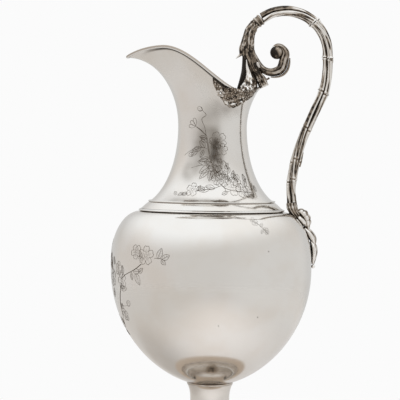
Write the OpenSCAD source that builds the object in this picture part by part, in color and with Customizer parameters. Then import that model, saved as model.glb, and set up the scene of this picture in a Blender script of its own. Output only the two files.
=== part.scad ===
// Silver wine carafe: a raised bowl on a trumpet foot, a flared neck with a
// drawn-out pouring lip, and a cast handle of bundled bamboo canes.
// Millimetres. +Z is up, the origin is the middle of the foot on the table,
// the lip points along -X and the handle along +X.

/* [Bowl] */
// Greatest outer radius of the bowl
bowl_r = 70; // [62:1:82]
// Depth of the bowl below its upright belt
bowl_depth = 81.5; // [70:0.5:95]
// Height of the upright belt at the widest place
belt_h = 7; // [3:0.5:14]
// Rise of the shoulder above the belt
shoulder_rise = 33.2; // [26:0.2:42]
// Pointedness of the underside, where 0.5 is a plain ellipse
bowl_point = 0.55; // [0.5:0.01:0.6]
// Outer radius of the bowl's mouth, under the moulded band
mouth_r = 51.8; // [50:0.2:55]
// Thickness of the raised sheet
wall = 0.9; // [0.6:0.1:1.4]

/* [Neck] */
// Outer radius at the waist
waist_r = 24; // [20:0.5:28]
// Outer radius of the neck's foot, inside the moulded band
neck_foot_r = 43.6; // [40:0.2:44.6]
// Height of the waist above the neck's foot
waist_h = 52; // [44:1:62]
// Reach of the lip's tip from the axis
lip_reach = 59; // [52:1:68]
// Reach of the rim's back from the axis
back_reach = 32; // [29:1:36]
// Half width of the mouth
lip_half_w = 31; // [27:1:36]
// Height of the lip's tip above the waist
tip_h = 48; // [42:1:56]
// Height of the rim's two crests above the waist
crest_h = 53.5; // [48:0.5:62]
// Height of the rim's two dips above the waist
dip_h = 22.5; // [18:0.5:28]
// Height of the rim's back above the waist
back_h = 26.5; // [22:0.5:32]
// Radius of the wire along the rim
rim_wire_r = 1; // [0.7:0.1:1.4]

/* [Mouldings] */
// Height of the moulded band between the bowl and the neck
band_h = 6.8; // [5.6:0.2:9]
// Radius of the fine reeds at the neck and on the foot
reed_r = 0.7; // [0.5:0.1:1]
// Height of the stepped rings under the band and at the foot's edge
step_h = 2; // [1.4:0.2:3]
// How far a stepped ring stands out
step_out = 1.2; // [0.8:0.1:1.8]

/* [Foot] */
// Height of the bowl's underside above the table
foot_h = 54.5; // [50:0.5:66]
// Narrowest outer radius of the stem
stem_r = 13.6; // [11:0.2:16]
// Height of the narrowest place above the table
stem_waist_h = 43; // [38:1:45]
// Outer radius of the stem's spread lower edge
stem_spread_r = 31; // [26:1:34]
// Height of the stem's spread lower edge above the table
stem_spread_h = 11; // [10:0.5:15]
// Radius of the stem's head, where it meets the bowl
stem_head_r = 16; // [14.5:0.5:19]
// Outer radius of the foot's rim
foot_r = 44; // [40:1:50]
// Height of the foot's rim
foot_rim_h = 4; // [3:0.5:6]

/* [Handle] */
// Radius of the handle's upper loop, along its middle line
loop_r = 29.8; // [28:0.2:33]
// Distance of the loop's middle behind the rim's back
loop_out = 18.8; // [17:0.2:21]
// Height of the loop's middle above the rim's back
loop_up = 25.4; // [23:0.2:28]
// Radius of one cane at the top of the loop
cane_r = 1.9; // [1.6:0.05:2.2]
// Radius of one cane at its lower end
cane_end_r = 1.65; // [1.4:0.05:1.9]
// Swelling of a cane at its joints
knuckle_h = 0.3; // [0.2:0.05:0.45]
// Radius of the bark-covered root
root_r = 3.5; // [3:0.1:4]
// Depth of the root's forward bow
root_bow = 5.2; // [4:0.2:6.6]
// Radius of the scroll's arm at its thickest
scroll_r = 3.5; // [3:0.1:4]
// Radius of the ball in the scroll's eye
scroll_ball_r = 4.2; // [3.6:0.1:4.6]
// Radius of the sawn-off branch
stub_r = 2.8; // [2.5:0.1:3]
// Thickness of the smooth sheath in front of the root
sheath_t = 1.3; // [0.9:0.1:1.8]
// Half width of the leaf husks on the bowl
husk_half_w = 4.6; // [3.6:0.2:5.6]
// Thickness of the leaf husks on the bowl
husk_t = 4.6; // [3.8:0.2:5.4]

/* [Rim mounts] */
// Height of a mount below the rim, at its deepest
mount_drop = 8.5; // [7:0.5:11]
// Greatest thickness of a mount
mount_t = 2.6; // [1.8:0.1:3.2]
// Radius of a cast blossom
blossom_r = 3; // [2.2:0.1:3.4]

/* [Hidden] */
// Gap left for solder between two pieces
seam = 0.12;
$fn = 72;
silver = "#c6c2bb";
bright_silver = "#d6d3ce";
dark_silver = "#8f887e";

// Heights of the main lines above the table
belt_z = foot_h + bowl_depth;
shoulder_z = belt_z + belt_h;
// The shoulder's round turns level a little inside the mouth's edge
mouth_flat_w = 1.8;
top_r = mouth_r - mouth_flat_w;
shoulder_run = bowl_r - top_r;
mouth_z = shoulder_z + shoulder_rise;
neck_z = mouth_z + band_h;
waist_z = neck_z + waist_h;

// Small helpers
function unit(v) = v / norm(v);
function mix(a, b, t) = a + (b - a) * t;
function clamp01(t) = min(max(t, 0), 1);
function ease(t) = (1 - cos(180 * clamp01(t))) / 2;
function backwards(list) = [for (i = [len(list) - 1:-1:0]) list[i]];
function joined(lists) = [for (list = lists) each list];
function steps(n) = [for (i = [0:n]) i / n];

// Curve through a list of points
function between(a, b, c, d, t) =
    (2 * b + (c - a) * t + (2 * a - 5 * b + 4 * c - d) * t * t + (3 * b - a - 3 * c + d) * t * t * t) / 2;
function curve(p, n) =
    let (last = len(p) - 1)
    concat(
        [for (i = [0:last - 1]) for (k = [0:n - 1])
            between(p[max(i - 1, 0)], p[i], p[i + 1], p[min(i + 2, last)], k / n)],
        [p[last]]
    );
function heading(path, i) =
    unit(path[min(i + 1, len(path) - 1)] - path[max(i - 1, 0)]);

// Skin over rings that all have the same number of points
function band_faces(a, b, n) =
    [for (j = [0:n - 1]) let (k = (j + 1) % n)
        each [[a + j, b + k, a + k], [a + j, b + j, b + k]]];
module skin(rings, closed = false) {
    n = len(rings[0]);
    m = len(rings);
    sides = [for (i = [0:m - (closed ? 1 : 2)]) each band_faces(i * n, ((i + 1) % m) * n, n)];
    first = [for (j = [0:n - 1]) j];
    last = [for (j = [n - 1:-1:0]) (m - 1) * n + j];
    polyhedron(joined(rings), concat(sides, closed ? [] : [first, last]));
}

// Plate between two grids of points that have the same rows and columns
module plate(under, over) {
    m = len(under);
    n = len(under[0]);
    rings = [for (i = [0:m - 1]) concat(under[i], backwards(over[i]))];
    sides = [for (i = [0:m - 2]) each band_faces(i * 2 * n, (i + 1) * 2 * n, 2 * n)];
    ends = [for (j = [0:n - 2]) let (k = 2 * n - 1 - j, b = (m - 1) * 2 * n)
        each [[j, j + 1, k - 1], [j, k - 1, k],
              [b + j, b + k - 1, b + j + 1], [b + j, b + k, b + k - 1]]];
    polyhedron(joined(rings), concat(sides, ends));
}

// Ring round a point of a path in the handle's plane: a is the half thickness
// in that plane and b the half width across it
function ring(p, dir, a, b, n) =
    [for (j = [0:n - 1]) let (t = -360 * j / n)
        [p.x - dir.y * a * cos(t), b * sin(t), p.y + dir.x * a * cos(t)]];

// Bar along a path, with its half sizes given at each point
module bar(path, sizes, n = 12) {
    skin([for (i = [0:len(path) - 1]) ring(path[i], heading(path, i), sizes[i].x, sizes[i].y, n)]);
}

// Bowl
// Outer outline at an angle: -90 at the bottom, 0 at the belt, 90 at the shoulder's flat top
function bowl_under(a, inset = 0) =
    [(bowl_r - inset) * pow(cos(a), 2 * bowl_point), belt_z + (bowl_depth - inset) * sin(a)];
function bowl_over(a, inset = 0) =
    [top_r + (shoulder_run - inset) * cos(a), shoulder_z + (shoulder_rise - inset) * sin(a)];
// Radius at a height, and the direction straight out from the surface there
function bowl_radius(z) =
    z > shoulder_z ? top_r + shoulder_run * sqrt(1 - pow((z - shoulder_z) / shoulder_rise, 2)) :
    z > belt_z ? bowl_r :
    bowl_r * pow(1 - pow((belt_z - z) / bowl_depth, 2), bowl_point);
function bowl_out(z) = unit([0.2, bowl_radius(z - 0.1) - bowl_radius(z + 0.1)]);
// Height of the underside at a radius
function under_z(r) = belt_z - bowl_depth * sqrt(1 - pow(r / bowl_r, 1 / bowl_point));

// Level ledge inside the mouth that carries the mouldings
ledge_w = 4.5;

module bowl() {
    ledge_r = mouth_r - ledge_w;
    color(silver) rotate_extrude() polygon(concat(
        [for (t = steps(28)) bowl_under(mix(-90, 0, t))],
        [for (t = steps(16)) bowl_over(mix(0, 90, t))],
        [[ledge_r, mouth_z], [ledge_r, mouth_z - wall]],
        [for (t = steps(16)) bowl_over(mix(90, 0, t), wall)],
        [for (t = steps(28)) bowl_under(mix(0, -90, t), wall)]
    ));
}

// Neck and pouring lip
// The rim runs round from the lip's tip, u = 0, to its back, u = 180
crest_u = 62;
dip_u = 138;
egg = 0.42;
neck_curl = 0.936;
function rim_rise(u) =
    u > 180 ? rim_rise(360 - u) :
    u < crest_u ? mix(tip_h, crest_h, ease(u / crest_u)) :
    u < dip_u ? mix(crest_h, dip_h, ease((u - crest_u) / (dip_u - crest_u))) :
    mix(dip_h, back_h, ease((u - dip_u) / (180 - dip_u)));
function rim_plan(u) =
    [(back_reach - lip_reach) / 2 - (back_reach + lip_reach) / 2 * cos(u),
     lip_half_w * sin(u) * (1 - egg * cos(u))];
// Share of the full reach at height share s: a quarter ellipse at the tip,
// a plain flare at the sides and the back
function lip_share(u, s) =
    let (m = pow((1 + cos(u)) / 2, 3)) mix(s * s, 1 - sqrt(1 - s * s), m);
function neck_at(u, s) =
    let (plan = rim_plan(u), r = mix(waist_r, norm(plan), lip_share(u, s)), d = unit(plan))
    [d.x * r, d.y * r, waist_z + rim_rise(u) * s];
function neck_out(u, s) =
    unit(cross(neck_at(u, min(s + 0.01, 1)) - neck_at(u, s - 0.01),
               neck_at(u + 1, s) - neck_at(u - 1, s)));
function neck_up(u) = unit(neck_at(u, 1) - neck_at(u, 0.98));
// Radius of the trumpet below the waist, where t is 0 at the waist
function trumpet(t) =
    mix(waist_r, neck_foot_r, (1 - sqrt(1 - pow(neck_curl * t, 2))) / (1 - sqrt(1 - pow(neck_curl, 2))));

neck_sides = 48;
function around(n) = [for (j = [0:n - 1]) 360 * j / n];
function trumpet_row(t, inset) =
    [for (u = around(neck_sides))
        let (d = unit(rim_plan(u)), r = trumpet(t) - inset) [d.x * r, d.y * r, waist_z - waist_h * t]];
function lip_row(s, inset) =
    [for (u = around(neck_sides)) neck_at(u, s) - inset * neck_out(u, max(s, 0.02))];

module neck() {
    trumpet_rows = [for (t = steps(8)) cos(90 * t)];
    lip_rows = [for (t = steps(11)) if (t > 0) sin(90 * t)];
    outer = concat([for (t = trumpet_rows) trumpet_row(t, 0)], [for (s = lip_rows) lip_row(s, 0)]);
    inner = concat([for (t = trumpet_rows) trumpet_row(t, wall)], [for (s = lip_rows) lip_row(s, wall)]);
    color(silver) skin(concat(outer, backwards(inner)), closed = true);
}

module rim_wire() {
    sides = 8;
    turns = 72;
    rings = [for (u = around(turns))
        let (up = neck_up(u), out = neck_out(u, 1),
             middle = neck_at(u, 1) - out * wall / 2 + up * (rim_wire_r + seam))
        [for (a = around(sides)) middle + rim_wire_r * (out * cos(a) + up * sin(a))]];
    color(bright_silver) skin(rings, closed = true);
}

// Mouldings
// Ring of wire lying round the axis
module reed(r, z) {
    color(bright_silver) rotate_extrude() translate([r, z]) circle(reed_r);
}

// Band that slopes from a lower outer edge to an upper inner edge, bulging a little,
// with level faces below and above
module sloped_band(low_r, low_z, high_r, high_z, bulge) {
    low = [low_r, low_z];
    high = [high_r, high_z];
    out = unit([high_z - low_z, low_r - high_r]);
    color(silver) rotate_extrude() polygon(concat(
        [for (t = steps(10)) mix(low, high, t) + out * bulge * sin(180 * t)],
        [high - [band_t, 0], low - [band_t, 0]]
    ));
}

// Rounded ring that stands on a level face
module step_ring(inner_r, r, z, h, out) {
    color(bright_silver) rotate_extrude() polygon(concat(
        [[inner_r, z]],
        [for (t = steps(10)) [r + out * sin(180 * t), z + h * t]],
        [[inner_r, z + h]]
    ));
}

band_t = 2.2;

module neck_reed() {
    reed(neck_foot_r + reed_r + seam, neck_z + reed_r * 0.6);
}
module shoulder_band() {
    sloped_band(mouth_r - step_out, mouth_z + step_h, neck_foot_r + seam, neck_z - seam, 0.4);
}
module shoulder_step() {
    step_ring(mouth_r - ledge_w, mouth_r - 1.6 * step_out, mouth_z + seam, step_h - 2 * seam, step_out);
}

// Foot
stem_z = under_z(stem_head_r) - 2 * reed_r;
function stem_at(z) =
    z > stem_waist_h
        ? mix(stem_r, stem_head_r, pow((z - stem_waist_h) / (stem_z - stem_waist_h), 3))
        : let (t = (stem_waist_h - z) / (stem_waist_h - stem_spread_h))
          mix(stem_r, stem_spread_r, (1 - sqrt(1 - pow(0.95 * t, 2))) / (1 - sqrt(1 - pow(0.95, 2))));

module stem() {
    zs = [for (t = steps(30)) mix(stem_spread_h, stem_z, t)];
    color(silver) rotate_extrude() polygon(concat(
        [for (z = zs) [stem_at(z), z]],
        [for (z = backwards(zs)) [stem_at(z) - wall, z]]
    ));
}

// Ring that beds the stem's head against the round of the bowl
module stem_collar() {
    inside = stem_head_r - 2 * wall;
    outside = stem_head_r + reed_r;
    color(bright_silver) rotate_extrude() polygon(concat(
        [[inside, stem_z + seam], [stem_head_r, stem_z + seam]],
        [for (t = steps(6)) if (t > 0)
            [mix(stem_head_r, outside, sin(90 * t)), mix(stem_z + seam, under_z(outside) - seam, t)]],
        [[inside, under_z(inside) - seam]]
    ));
}

module foot_reed() {
    reed(stem_spread_r + reed_r + 2 * seam, stem_spread_h + reed_r * 0.7);
}
module foot_band() {
    sloped_band(foot_r - step_out, foot_rim_h + seam, stem_spread_r + seam, stem_spread_h - seam, 1);
}
module foot_rim() {
    step_ring(foot_r - step_out - 2 * band_t, foot_r - step_out, 0, foot_rim_h, step_out);
}

// Rim mounts
// A mount hangs from the rim on each side of the handle, between two places on the rim
mount_from = 106;
mount_to = 162;
mount_top = 0.975;
// Depth of a mount at its two ends, and its thickness at its edges
mount_end_h = 1.6;
mount_edge_t = 0.7;
function mount_swell(t) = pow(sin(180 * pow(clamp01(t), 0.9)), 0.6);
function mount_depth(t) = mix(mount_end_h, mount_drop, mount_swell(t));
function mount_s(u, v) =
    mount_top - v * mount_depth((u - mount_from) / (mount_to - mount_from)) / rim_rise(u);
// Lumpy height of the cast moss above the neck
lumps_along = 1300;
lumps_down = 760;
lump_share = 0.18;
function mount_height(u, v) =
    let (t = (u - mount_from) / (mount_to - mount_from),
         lump = 1 - lump_share * (1 - cos(lumps_along * t) * cos(lumps_down * v)))
    mix(mount_edge_t, mount_t, pow(sin(180 * t) * sin(180 * mix(0.1, 0.9, v)), 0.6) * lump);
function mount_place(u, v, h) = neck_at(u, mount_s(u, v)) + neck_out(u, mount_s(u, v)) * h;

module mount() {
    columns = 26;
    rows = 8;
    angles = [for (t = steps(columns)) mix(mount_from, mount_to, t)];
    color(dark_silver) plate(
        [for (u = angles) [for (v = steps(rows)) mount_place(u, v, seam)]],
        [for (u = angles) [for (v = steps(rows)) mount_place(u, v, seam + mount_height(u, v))]]
    );
}
module mirrored() {
    mirror([0, 1, 0]) children();
}
module rim_mount_left() {
    mirrored() mount();
}
module rim_mount_right() {
    mount();
}

// Five-petalled blossom lying on a mount
blossom_u = 120;
blossom_v = 0.5;
blossom_t = 0.9;
petals = 5;
petal_r = blossom_r * 0.42;
eye_r = blossom_r * 0.28;
module blossom() {
    place = mount_place(blossom_u, blossom_v, mount_t + 2 * seam);
    out = neck_out(blossom_u, mount_s(blossom_u, blossom_v));
    translate(place)
    rotate([0, acos(out.z), atan2(out.y, out.x)])
    union() {
        linear_extrude(blossom_t)
        union() {
            circle(blossom_r * 0.45);
            for (k = [1:petals])
                rotate(360 * k / petals) translate([blossom_r - petal_r, 0]) circle(petal_r);
        }
        translate([0, 0, blossom_t]) sphere(eye_r);
    }
}
module mount_blossoms() {
    color(bright_silver) {
        blossom();
        mirrored() blossom();
    }
}

// Handle
// All of it lies in the plane of the axis and the lip; paths are [x, z] points
rim_top = waist_z + back_h + 2 * rim_wire_r + 2 * seam;
loop_x = back_reach + loop_out;
loop_z = waist_z + back_h + loop_up;
function loop_at(a) = [loop_x + loop_r * cos(a), loop_z + loop_r * sin(a)];
bind_a = 130;
bind_half = 4.5;

// Root: from the rim's back to the binding, bowed towards the lip
// Share of the way up, and share of the bow
root_shape = [[0, 0], [0.15, 0.37], [0.35, 0.71], [0.54, 0.98], [0.68, 0.98]];
// How far the root's foot stands in from the rim's back
root_inset_w = 3.4;
// Angles on the loop by which the root stops short of the binding and by which it follows the loop
root_short_a = 0.8;
root_follow_a = 11;
root_foot = [back_reach - root_inset_w, rim_top + seam];
root_head = loop_at(bind_a + bind_half + root_short_a);
root_line = curve(concat(
    [for (p = root_shape) mix(root_foot, root_head, p.x) - [p.y * root_bow, 0]],
    [loop_at(bind_a + bind_half + root_follow_a), root_head]), 6);
// Knotty half thickness of the root, slimmer where the sawn-off branch leaves it
knot_share = 0.06;
slim_share = 0.4;
slim_at = 0.22;
slim_run = 0.14;
function root_half(i) =
    let (t = i / (len(root_line) - 1))
    root_r * (0.98 + knot_share * cos(1400 * t) + knot_share * cos(520 * t + 40)
        - slim_share * exp(-pow((t - slim_at) / slim_run, 2)));
// Point of the root at a share of its length, moved out to its lip side (-1) or loop side (1)
function root_side(t, side, clear) =
    let (i = round(t * (len(root_line) - 1)), d = heading(root_line, i))
    root_line[i] + [d.y, -d.x] * side * (root_half(i) + clear);

module handle_root() {
    color(dark_silver) bar(root_line,
        [for (i = [0:len(root_line) - 1]) [root_half(i), root_half(i) * 1.05]], 14);
}

// Sheath: a smooth leaf in front of the root, spread into two feet that stand on the rim
sheath_spread = 45;
sheath_wrap = 75;
sheath_share = 0.45;
sheath_top = root_line[round(sheath_share * (len(root_line) - 1))];
sheath_r = root_r * 1.12 + 2 * seam;
// Height of the sheath's arch over the rim's back, and of its feet over the rim's wire
sheath_arch_h = 1.5;
sheath_foot_h = 0.6;
function sheath_low(w) =
    let (u = 180 - sheath_spread,
         foot = neck_at(u, 1) + neck_up(u) * (2 * rim_wire_r + 3 * seam) + [0, 0, sheath_foot_h],
         arch = [sheath_top.x - sheath_r, 0, rim_top + sheath_arch_h])
    [mix(arch.x, foot.x, w * w), foot.y * w, mix(arch.z, foot.z, w * w)];
function sheath_at(w, v, out) =
    let (low = sheath_low(w), spread = pow(1 - v, 2.4), r = sheath_r + out,
         high = [sheath_top.x - r * cos(sheath_wrap * w), r * sin(sheath_wrap * w)])
    [mix(high.x, low.x - out, spread), mix(high.y, low.y, spread), mix(low.z, sheath_top.y, v)];

module handle_sheath() {
    columns = 14;
    rows = 16;
    thin = 0.6;
    color(silver) plate(
        [for (v = steps(rows)) [for (w = steps(columns)) sheath_at(2 * w - 1, v, 0)]],
        [for (v = steps(rows)) [for (w = steps(columns))
            sheath_at(2 * w - 1, v, sheath_t * mix(1, thin, v))]]
    );
}

// Thorn on the root's lip side
thorn_share = 0.51;
thorn_clear_w = 0.55;
thorn_len = 4;
thorn_r = 0.8;
module root_thorn() {
    base = root_side(thorn_share, -1, thorn_clear_w);
    shape = [[0, 0, 1], [-0.5, -0.22, 0.73], [-1, -0.5, 0.18]];
    color(dark_silver) bar([for (p = shape) base + thorn_len * [p.x, p.y]],
        [for (p = shape) thorn_r * p.z * [1, 1]], 8);
}

// Sawn-off branch with a hollow end, springing from the root's loop side
stub_share = 0.31;
stub_start = root_side(stub_share, 1, stub_r * 0.45 + seam);
stub_dir = unit([0.46, -1]);
stub_len = 14.4;
stub_hollow_h = 2;
// Share of the length, and share of the radius
stub_shape = [[0, 0.38], [0.3, 0.6], [0.6, 0.82], [0.86, 0.9], [0.94, 1.03], [1, 1]];
module branch_stub() {
    end = stub_start + stub_dir * stub_len;
    rings = [for (p = stub_shape)
        ring(mix(stub_start, end, p.x), stub_dir, stub_r * p.y, stub_r * p.y, 14)];
    color(silver) skin(concat(rings, [
        ring(end, stub_dir, stub_r * 0.62, stub_r * 0.62, 14),
        ring(end - stub_dir * stub_hollow_h, stub_dir, stub_r * 0.5, stub_r * 0.5, 14)
    ]));
}

// Short twig on the sawn-off branch
twig_share = 0.84;
twig_len = 3;
twig_r = 0.55;
module stub_twig() {
    side = [-stub_dir.y, stub_dir.x];
    base = stub_start + stub_dir * stub_len * twig_share + side * (stub_r * 0.95 + seam);
    shape = [[0, 0, 1], [0.5, 0.1, 0.82], [1, 0.3, 0.64]];
    color(dark_silver) bar([for (p = shape) base + twig_len * [p.x, p.y]],
        [for (p = shape) twig_r * p.z * [1, 1]], 8);
}

// Scroll: an arm that leaves the root, turns under and curls over a ball
ball_back_w = 6.5;
ball_up_h = 1.4;
ball_at = [loop_x - ball_back_w, loop_z + ball_up_h];
// Angle about the ball, then the space between ball and arm and the arm's half thickness,
// both as shares of the arm's full half thickness
scroll_shape = [
    [227, 2.31, 0.63], [255, 1.94, 0.78], [284, 1.25, 0.92], [317, 0.42, 0.88], [354, 0.12, 0.74],
    [405, 0.1, 0.4], [434, 0.09, 0.2]
];
// Share of the root's length, and share of the arm's half thickness, where the arm lies along the root
scroll_rootward = [[0.56, 0.17], [0.42, 0.5]];
scroll_clear_w = 0.4;
scroll_points = concat(
    [for (p = scroll_rootward) root_side(p.x, 1, scroll_r * p.y + scroll_clear_w)],
    [for (p = scroll_shape)
        ball_at + (scroll_ball_r + scroll_r * (p.y + p.z)) * [cos(p.x), sin(p.x)]]
);
scroll_halves = concat([for (p = scroll_rootward) scroll_r * p.y], [for (p = scroll_shape) scroll_r * p.z]);
scroll_fine = 5;
scroll_line = curve(scroll_points, scroll_fine);
scroll_half = curve(scroll_halves, scroll_fine);

module scroll_arm() {
    color(silver) bar(scroll_line, [for (h = scroll_half) [h, h * 1.1]], 16);
}
module scroll_ball() {
    color(bright_silver) translate([ball_at.x, 0, ball_at.y]) sphere(scroll_ball_r);
}
// Thin leaf that lies along the underside of the arm: half thickness and half width at its ends and middle
leaf_end_t = 0.35;
leaf_mid_t = 0.85;
leaf_end_w = 0.5;
leaf_mid_w = 2.7;
module scroll_leaf() {
    first = 3 * scroll_fine;
    count = 2.4 * scroll_fine;
    half_t = [for (t = steps(count)) mix(leaf_end_t, leaf_mid_t, sin(180 * t))];
    half_w = [for (t = steps(count)) mix(leaf_end_w, leaf_mid_w, sin(180 * pow(t, 0.8)))];
    line = [for (k = [0:count])
        let (i = first + k, d = heading(scroll_line, i))
        scroll_line[i] + [d.y, -d.x] * (scroll_half[i] + half_t[k] + seam)];
    color(dark_silver) bar(line, [for (k = [0:count]) [half_t[k], half_w[k]]], 12);
}

// Canes: three together, slowly twisted, from the binding to the bowl's shoulder
function on_bowl(z, off) = [bowl_radius(z), z] + bowl_out(z) * off;
bundle = 1 + 1 / cos(30);
bundle_top_r = cane_r * bundle;
bundle_end_r = cane_end_r * bundle;
// The knee, where the canes end above the shoulder, and how far they stop short of it
knee_share = 0.955;
knee_clear_h = 0.9;
knee_back_w = 1.7;
knee_short_h = 2.6;
knee_z = shoulder_z + shoulder_rise * knee_share;
knee = on_bowl(knee_z, bundle_end_r + knee_clear_h);
// Angles of the loop that the canes follow, from just past the binding
cane_short_a = 1.3;
cane_angles = [bind_a - bind_half - cane_short_a, 108, 90, 72, 54, 36, 18, 0];
// Share of the drop from the loop to the knee, and of the way in towards the bowl
sweep_shape = [
    [0.11, 0.01], [0.24, 0.13], [0.396, 0.48], [0.539, 0.775], [0.695, 0.99], [0.838, 1.09], [0.93, 1.08]
];
cane_points = concat(
    [for (a = cane_angles) loop_at(a)],
    [for (p = sweep_shape)
        [mix(loop_at(0).x, knee.x, p.y), mix(loop_z, knee.y, p.x)]],
    [knee + [-knee_back_w, knee_short_h]]
);
cane_line = curve(cane_points, 7);
cane_last = len(cane_line) - 1;
// Shares of a cane's length at which its joints stand, and the share that one joint takes
knuckle_at = [0.283, 0.482, 0.602, 0.705, 0.794, 0.852, 0.97];
knuckle_share = 0.011;
// Turn of the bundle from end to end, the angle between canes, and how far their joints are staggered
cane_twist = 140;
cane_step = 120;
cane_stagger = 0.006;
function cane_swell(t, shift) =
    knuckle_h * max([for (k = knuckle_at) exp(-pow((t - k - shift) / knuckle_share, 2))]);
function cane_ring(i, start, shift) =
    let (t = i / cane_last, d = heading(cane_line, i), swell = cane_swell(t, shift),
         r = mix(cane_r, cane_end_r, t), a = start + cane_twist * t,
         off = (r + seam / 2) / cos(30) + 1.2 * swell)
    [for (p = ring([0, 0], d, r + swell, r + swell, 8))
        p + [cane_line[i].x - d.y * off * cos(a), off * sin(a), cane_line[i].y + d.x * off * cos(a)]];
module cane(start, shift) {
    color(silver) skin([for (i = [0:cane_last]) cane_ring(i, start, shift)]);
}
near_start = -90;
module cane_near() {
    cane(near_start, 0);
}
module cane_outer() {
    cane(near_start + cane_step, cane_stagger);
}
module cane_inner() {
    cane(near_start + 2 * cane_step, -cane_stagger);
}

// Collar where the canes leave the root
module cane_binding() {
    count = 6;
    shape = [1.02, 1.16, 1.02, 0.94, 1.02, 1.16, 1.06];
    color(bright_silver) bar(
        [for (t = steps(count)) loop_at(mix(bind_a + bind_half, bind_a - bind_half, t))],
        [for (k = [0:count]) [bundle_top_r * shape[k], bundle_top_r * shape[k]]], 16);
}

// Cut side shoots on the near cane, pointing along it: share of its length, radius, length
shoots = [[0.478, 0.8, 3], [0.77, 0.9, 10.5]];
module cane_shoots() {
    color(dark_silver)
    for (place = shoots) {
        i = round(place.x * cane_last);
        d = heading(cane_line, i);
        a = near_start + cane_twist * place.x;
        r = mix(cane_r, cane_end_r, place.x);
        off = r / cos(30) + r + 2 * knuckle_h + place.y + 2 * seam;
        base = [cane_line[i].x - d.y * off * cos(a), off * sin(a), cane_line[i].y + d.x * off * cos(a)];
        skin([for (p = [[0, 0.6], [0.5, 0.85], [0.9, 1], [1, 0.85]])
            [for (q = ring(d * place.z * p.x, d, place.y * p.y, place.y * p.y, 10)) base + q]]);
    }
}

// Bark-covered foot of the canes, bending down onto the shoulder
husk_share_z = 0.82;
husk_z = shoulder_z + shoulder_rise * husk_share_z;
foot_over_h = 0.5;
foot_lead_h = 3.4;
foot_tail_h = 4.5;
// Point of a bend that leaves a along d and arrives at b along e
function bend(a, d, b, e, t) =
    let (p = a + d * foot_lead_h, q = b - e * foot_tail_h, s = 1 - t)
    a * s * s * s + p * 3 * s * s * t + q * 3 * s * t * t + b * t * t * t;
module cane_foot() {
    count = 10;
    ridge_share = 0.04;
    d = heading(cane_line, cane_last);
    start = cane_line[cane_last] + d * 7 * seam;
    out = bowl_out(husk_z);
    end = on_bowl(husk_z + foot_over_h, husk_t * 0.45 + 2 * seam);
    line = [for (t = steps(count)) bend(start, d, end, [out.y, -out.x], t)];
    sizes = [for (t = steps(count))
        mix(bundle_end_r, husk_t * 0.4, sin(90 * t)) * (1 + ridge_share * cos(1080 * t))];
    color(dark_silver) bar(line, [for (s = sizes) [s, s * 1.1]], 14);
}

// Leaf husks that lie one after another down the bowl
// Each has its height range, full thickness, share of that at its start, its fullest place and its end
function husk_share(t, start, peak, end) =
    t < peak ? mix(start, 1, sin(90 * t / peak)) : mix(1, end, pow((t - peak) / (1 - peak), 1.4));
module husk(from, to, full, start, peak, end) {
    count = 12;
    share = [for (t = steps(count)) husk_share(t, start, peak, end)];
    color(silver) skin([for (k = [0:count])
        let (z = mix(from, to, k / count), out = bowl_out(z), half = full / 2 * share[k])
        ring(on_bowl(z, half + 2 * seam), [out.y, -out.x], half, husk_half_w * share[k], 14)]);
}
// Heights of the three husks along the bowl, and the step between one and the next
upper_h = 7.5;
middle_h = 10.8;
lower_h = 12.1;
husk_step_h = 0.3;
middle_z = husk_z - upper_h - husk_step_h;
lower_z = middle_z - middle_h - husk_step_h;
bead_z = lower_z - lower_h - husk_step_h;
upper_t = husk_t * 0.75;
module husk_upper() {
    husk(husk_z, husk_z - upper_h, upper_t, 0.8, 0.5, 0.85);
}
module husk_middle() {
    husk(middle_z, middle_z - middle_h, husk_t * 1.1, 0.55, 0.7, 0.9);
}
module husk_lower() {
    husk(lower_z, lower_z - lower_h, husk_t * 1.25, 0.8, 0.2, 0.3);
}
// Knobbed leaf over the back of the knee and the upper husk
outer_gap_w = 0.6;
outer_top_h = 0.2;
outer_mid_h = 2;
outer_end_h = 9;
module husk_outer() {
    half = husk_t * 0.26;
    half_w = husk_half_w * 0.8;
    clear = upper_t + half + 4 * seam;
    line = curve([knee + [bundle_end_r + half + outer_gap_w, outer_top_h],
        on_bowl(husk_z - outer_mid_h, clear + outer_top_h),
        on_bowl(husk_z - outer_end_h, clear - half * 0.4)], 6);
    shares = [for (t = steps(12)) husk_share(t, 0.5, 0.4, 0.4)];
    color(silver) bar(line, [for (s = shares) [half * s, half_w * s]], 14);
}
module husk_bead() {
    bead_r = husk_t * 0.28;
    place = on_bowl(bead_z - bead_r, bead_r + 2 * seam);
    color(bright_silver) translate([place.x, 0, place.y]) sphere(bead_r);
}

bowl();
neck();
rim_wire();
neck_reed();
shoulder_band();
shoulder_step();
stem_collar();
stem();
foot_reed();
foot_band();
foot_rim();
rim_mount_left();
rim_mount_right();
mount_blossoms();
handle_sheath();
handle_root();
root_thorn();
branch_stub();
stub_twig();
scroll_arm();
scroll_ball();
scroll_leaf();
cane_binding();
cane_near();
cane_outer();
cane_inner();
cane_shoots();
cane_foot();
husk_outer();
husk_upper();
husk_middle();
husk_lower();
husk_bead();
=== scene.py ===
"""Dresses a silver wine carafe in the packed part's own frame.

Shapes are worked out in millimetres, as in the part's source, and each finished mesh is scaled to metres.
+Z is up, the lip points along -X, the handle along +X, and the camera looks along +Y.
"""

import math

import bmesh
import bpy
from mathutils import Matrix, Vector, noise


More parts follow.
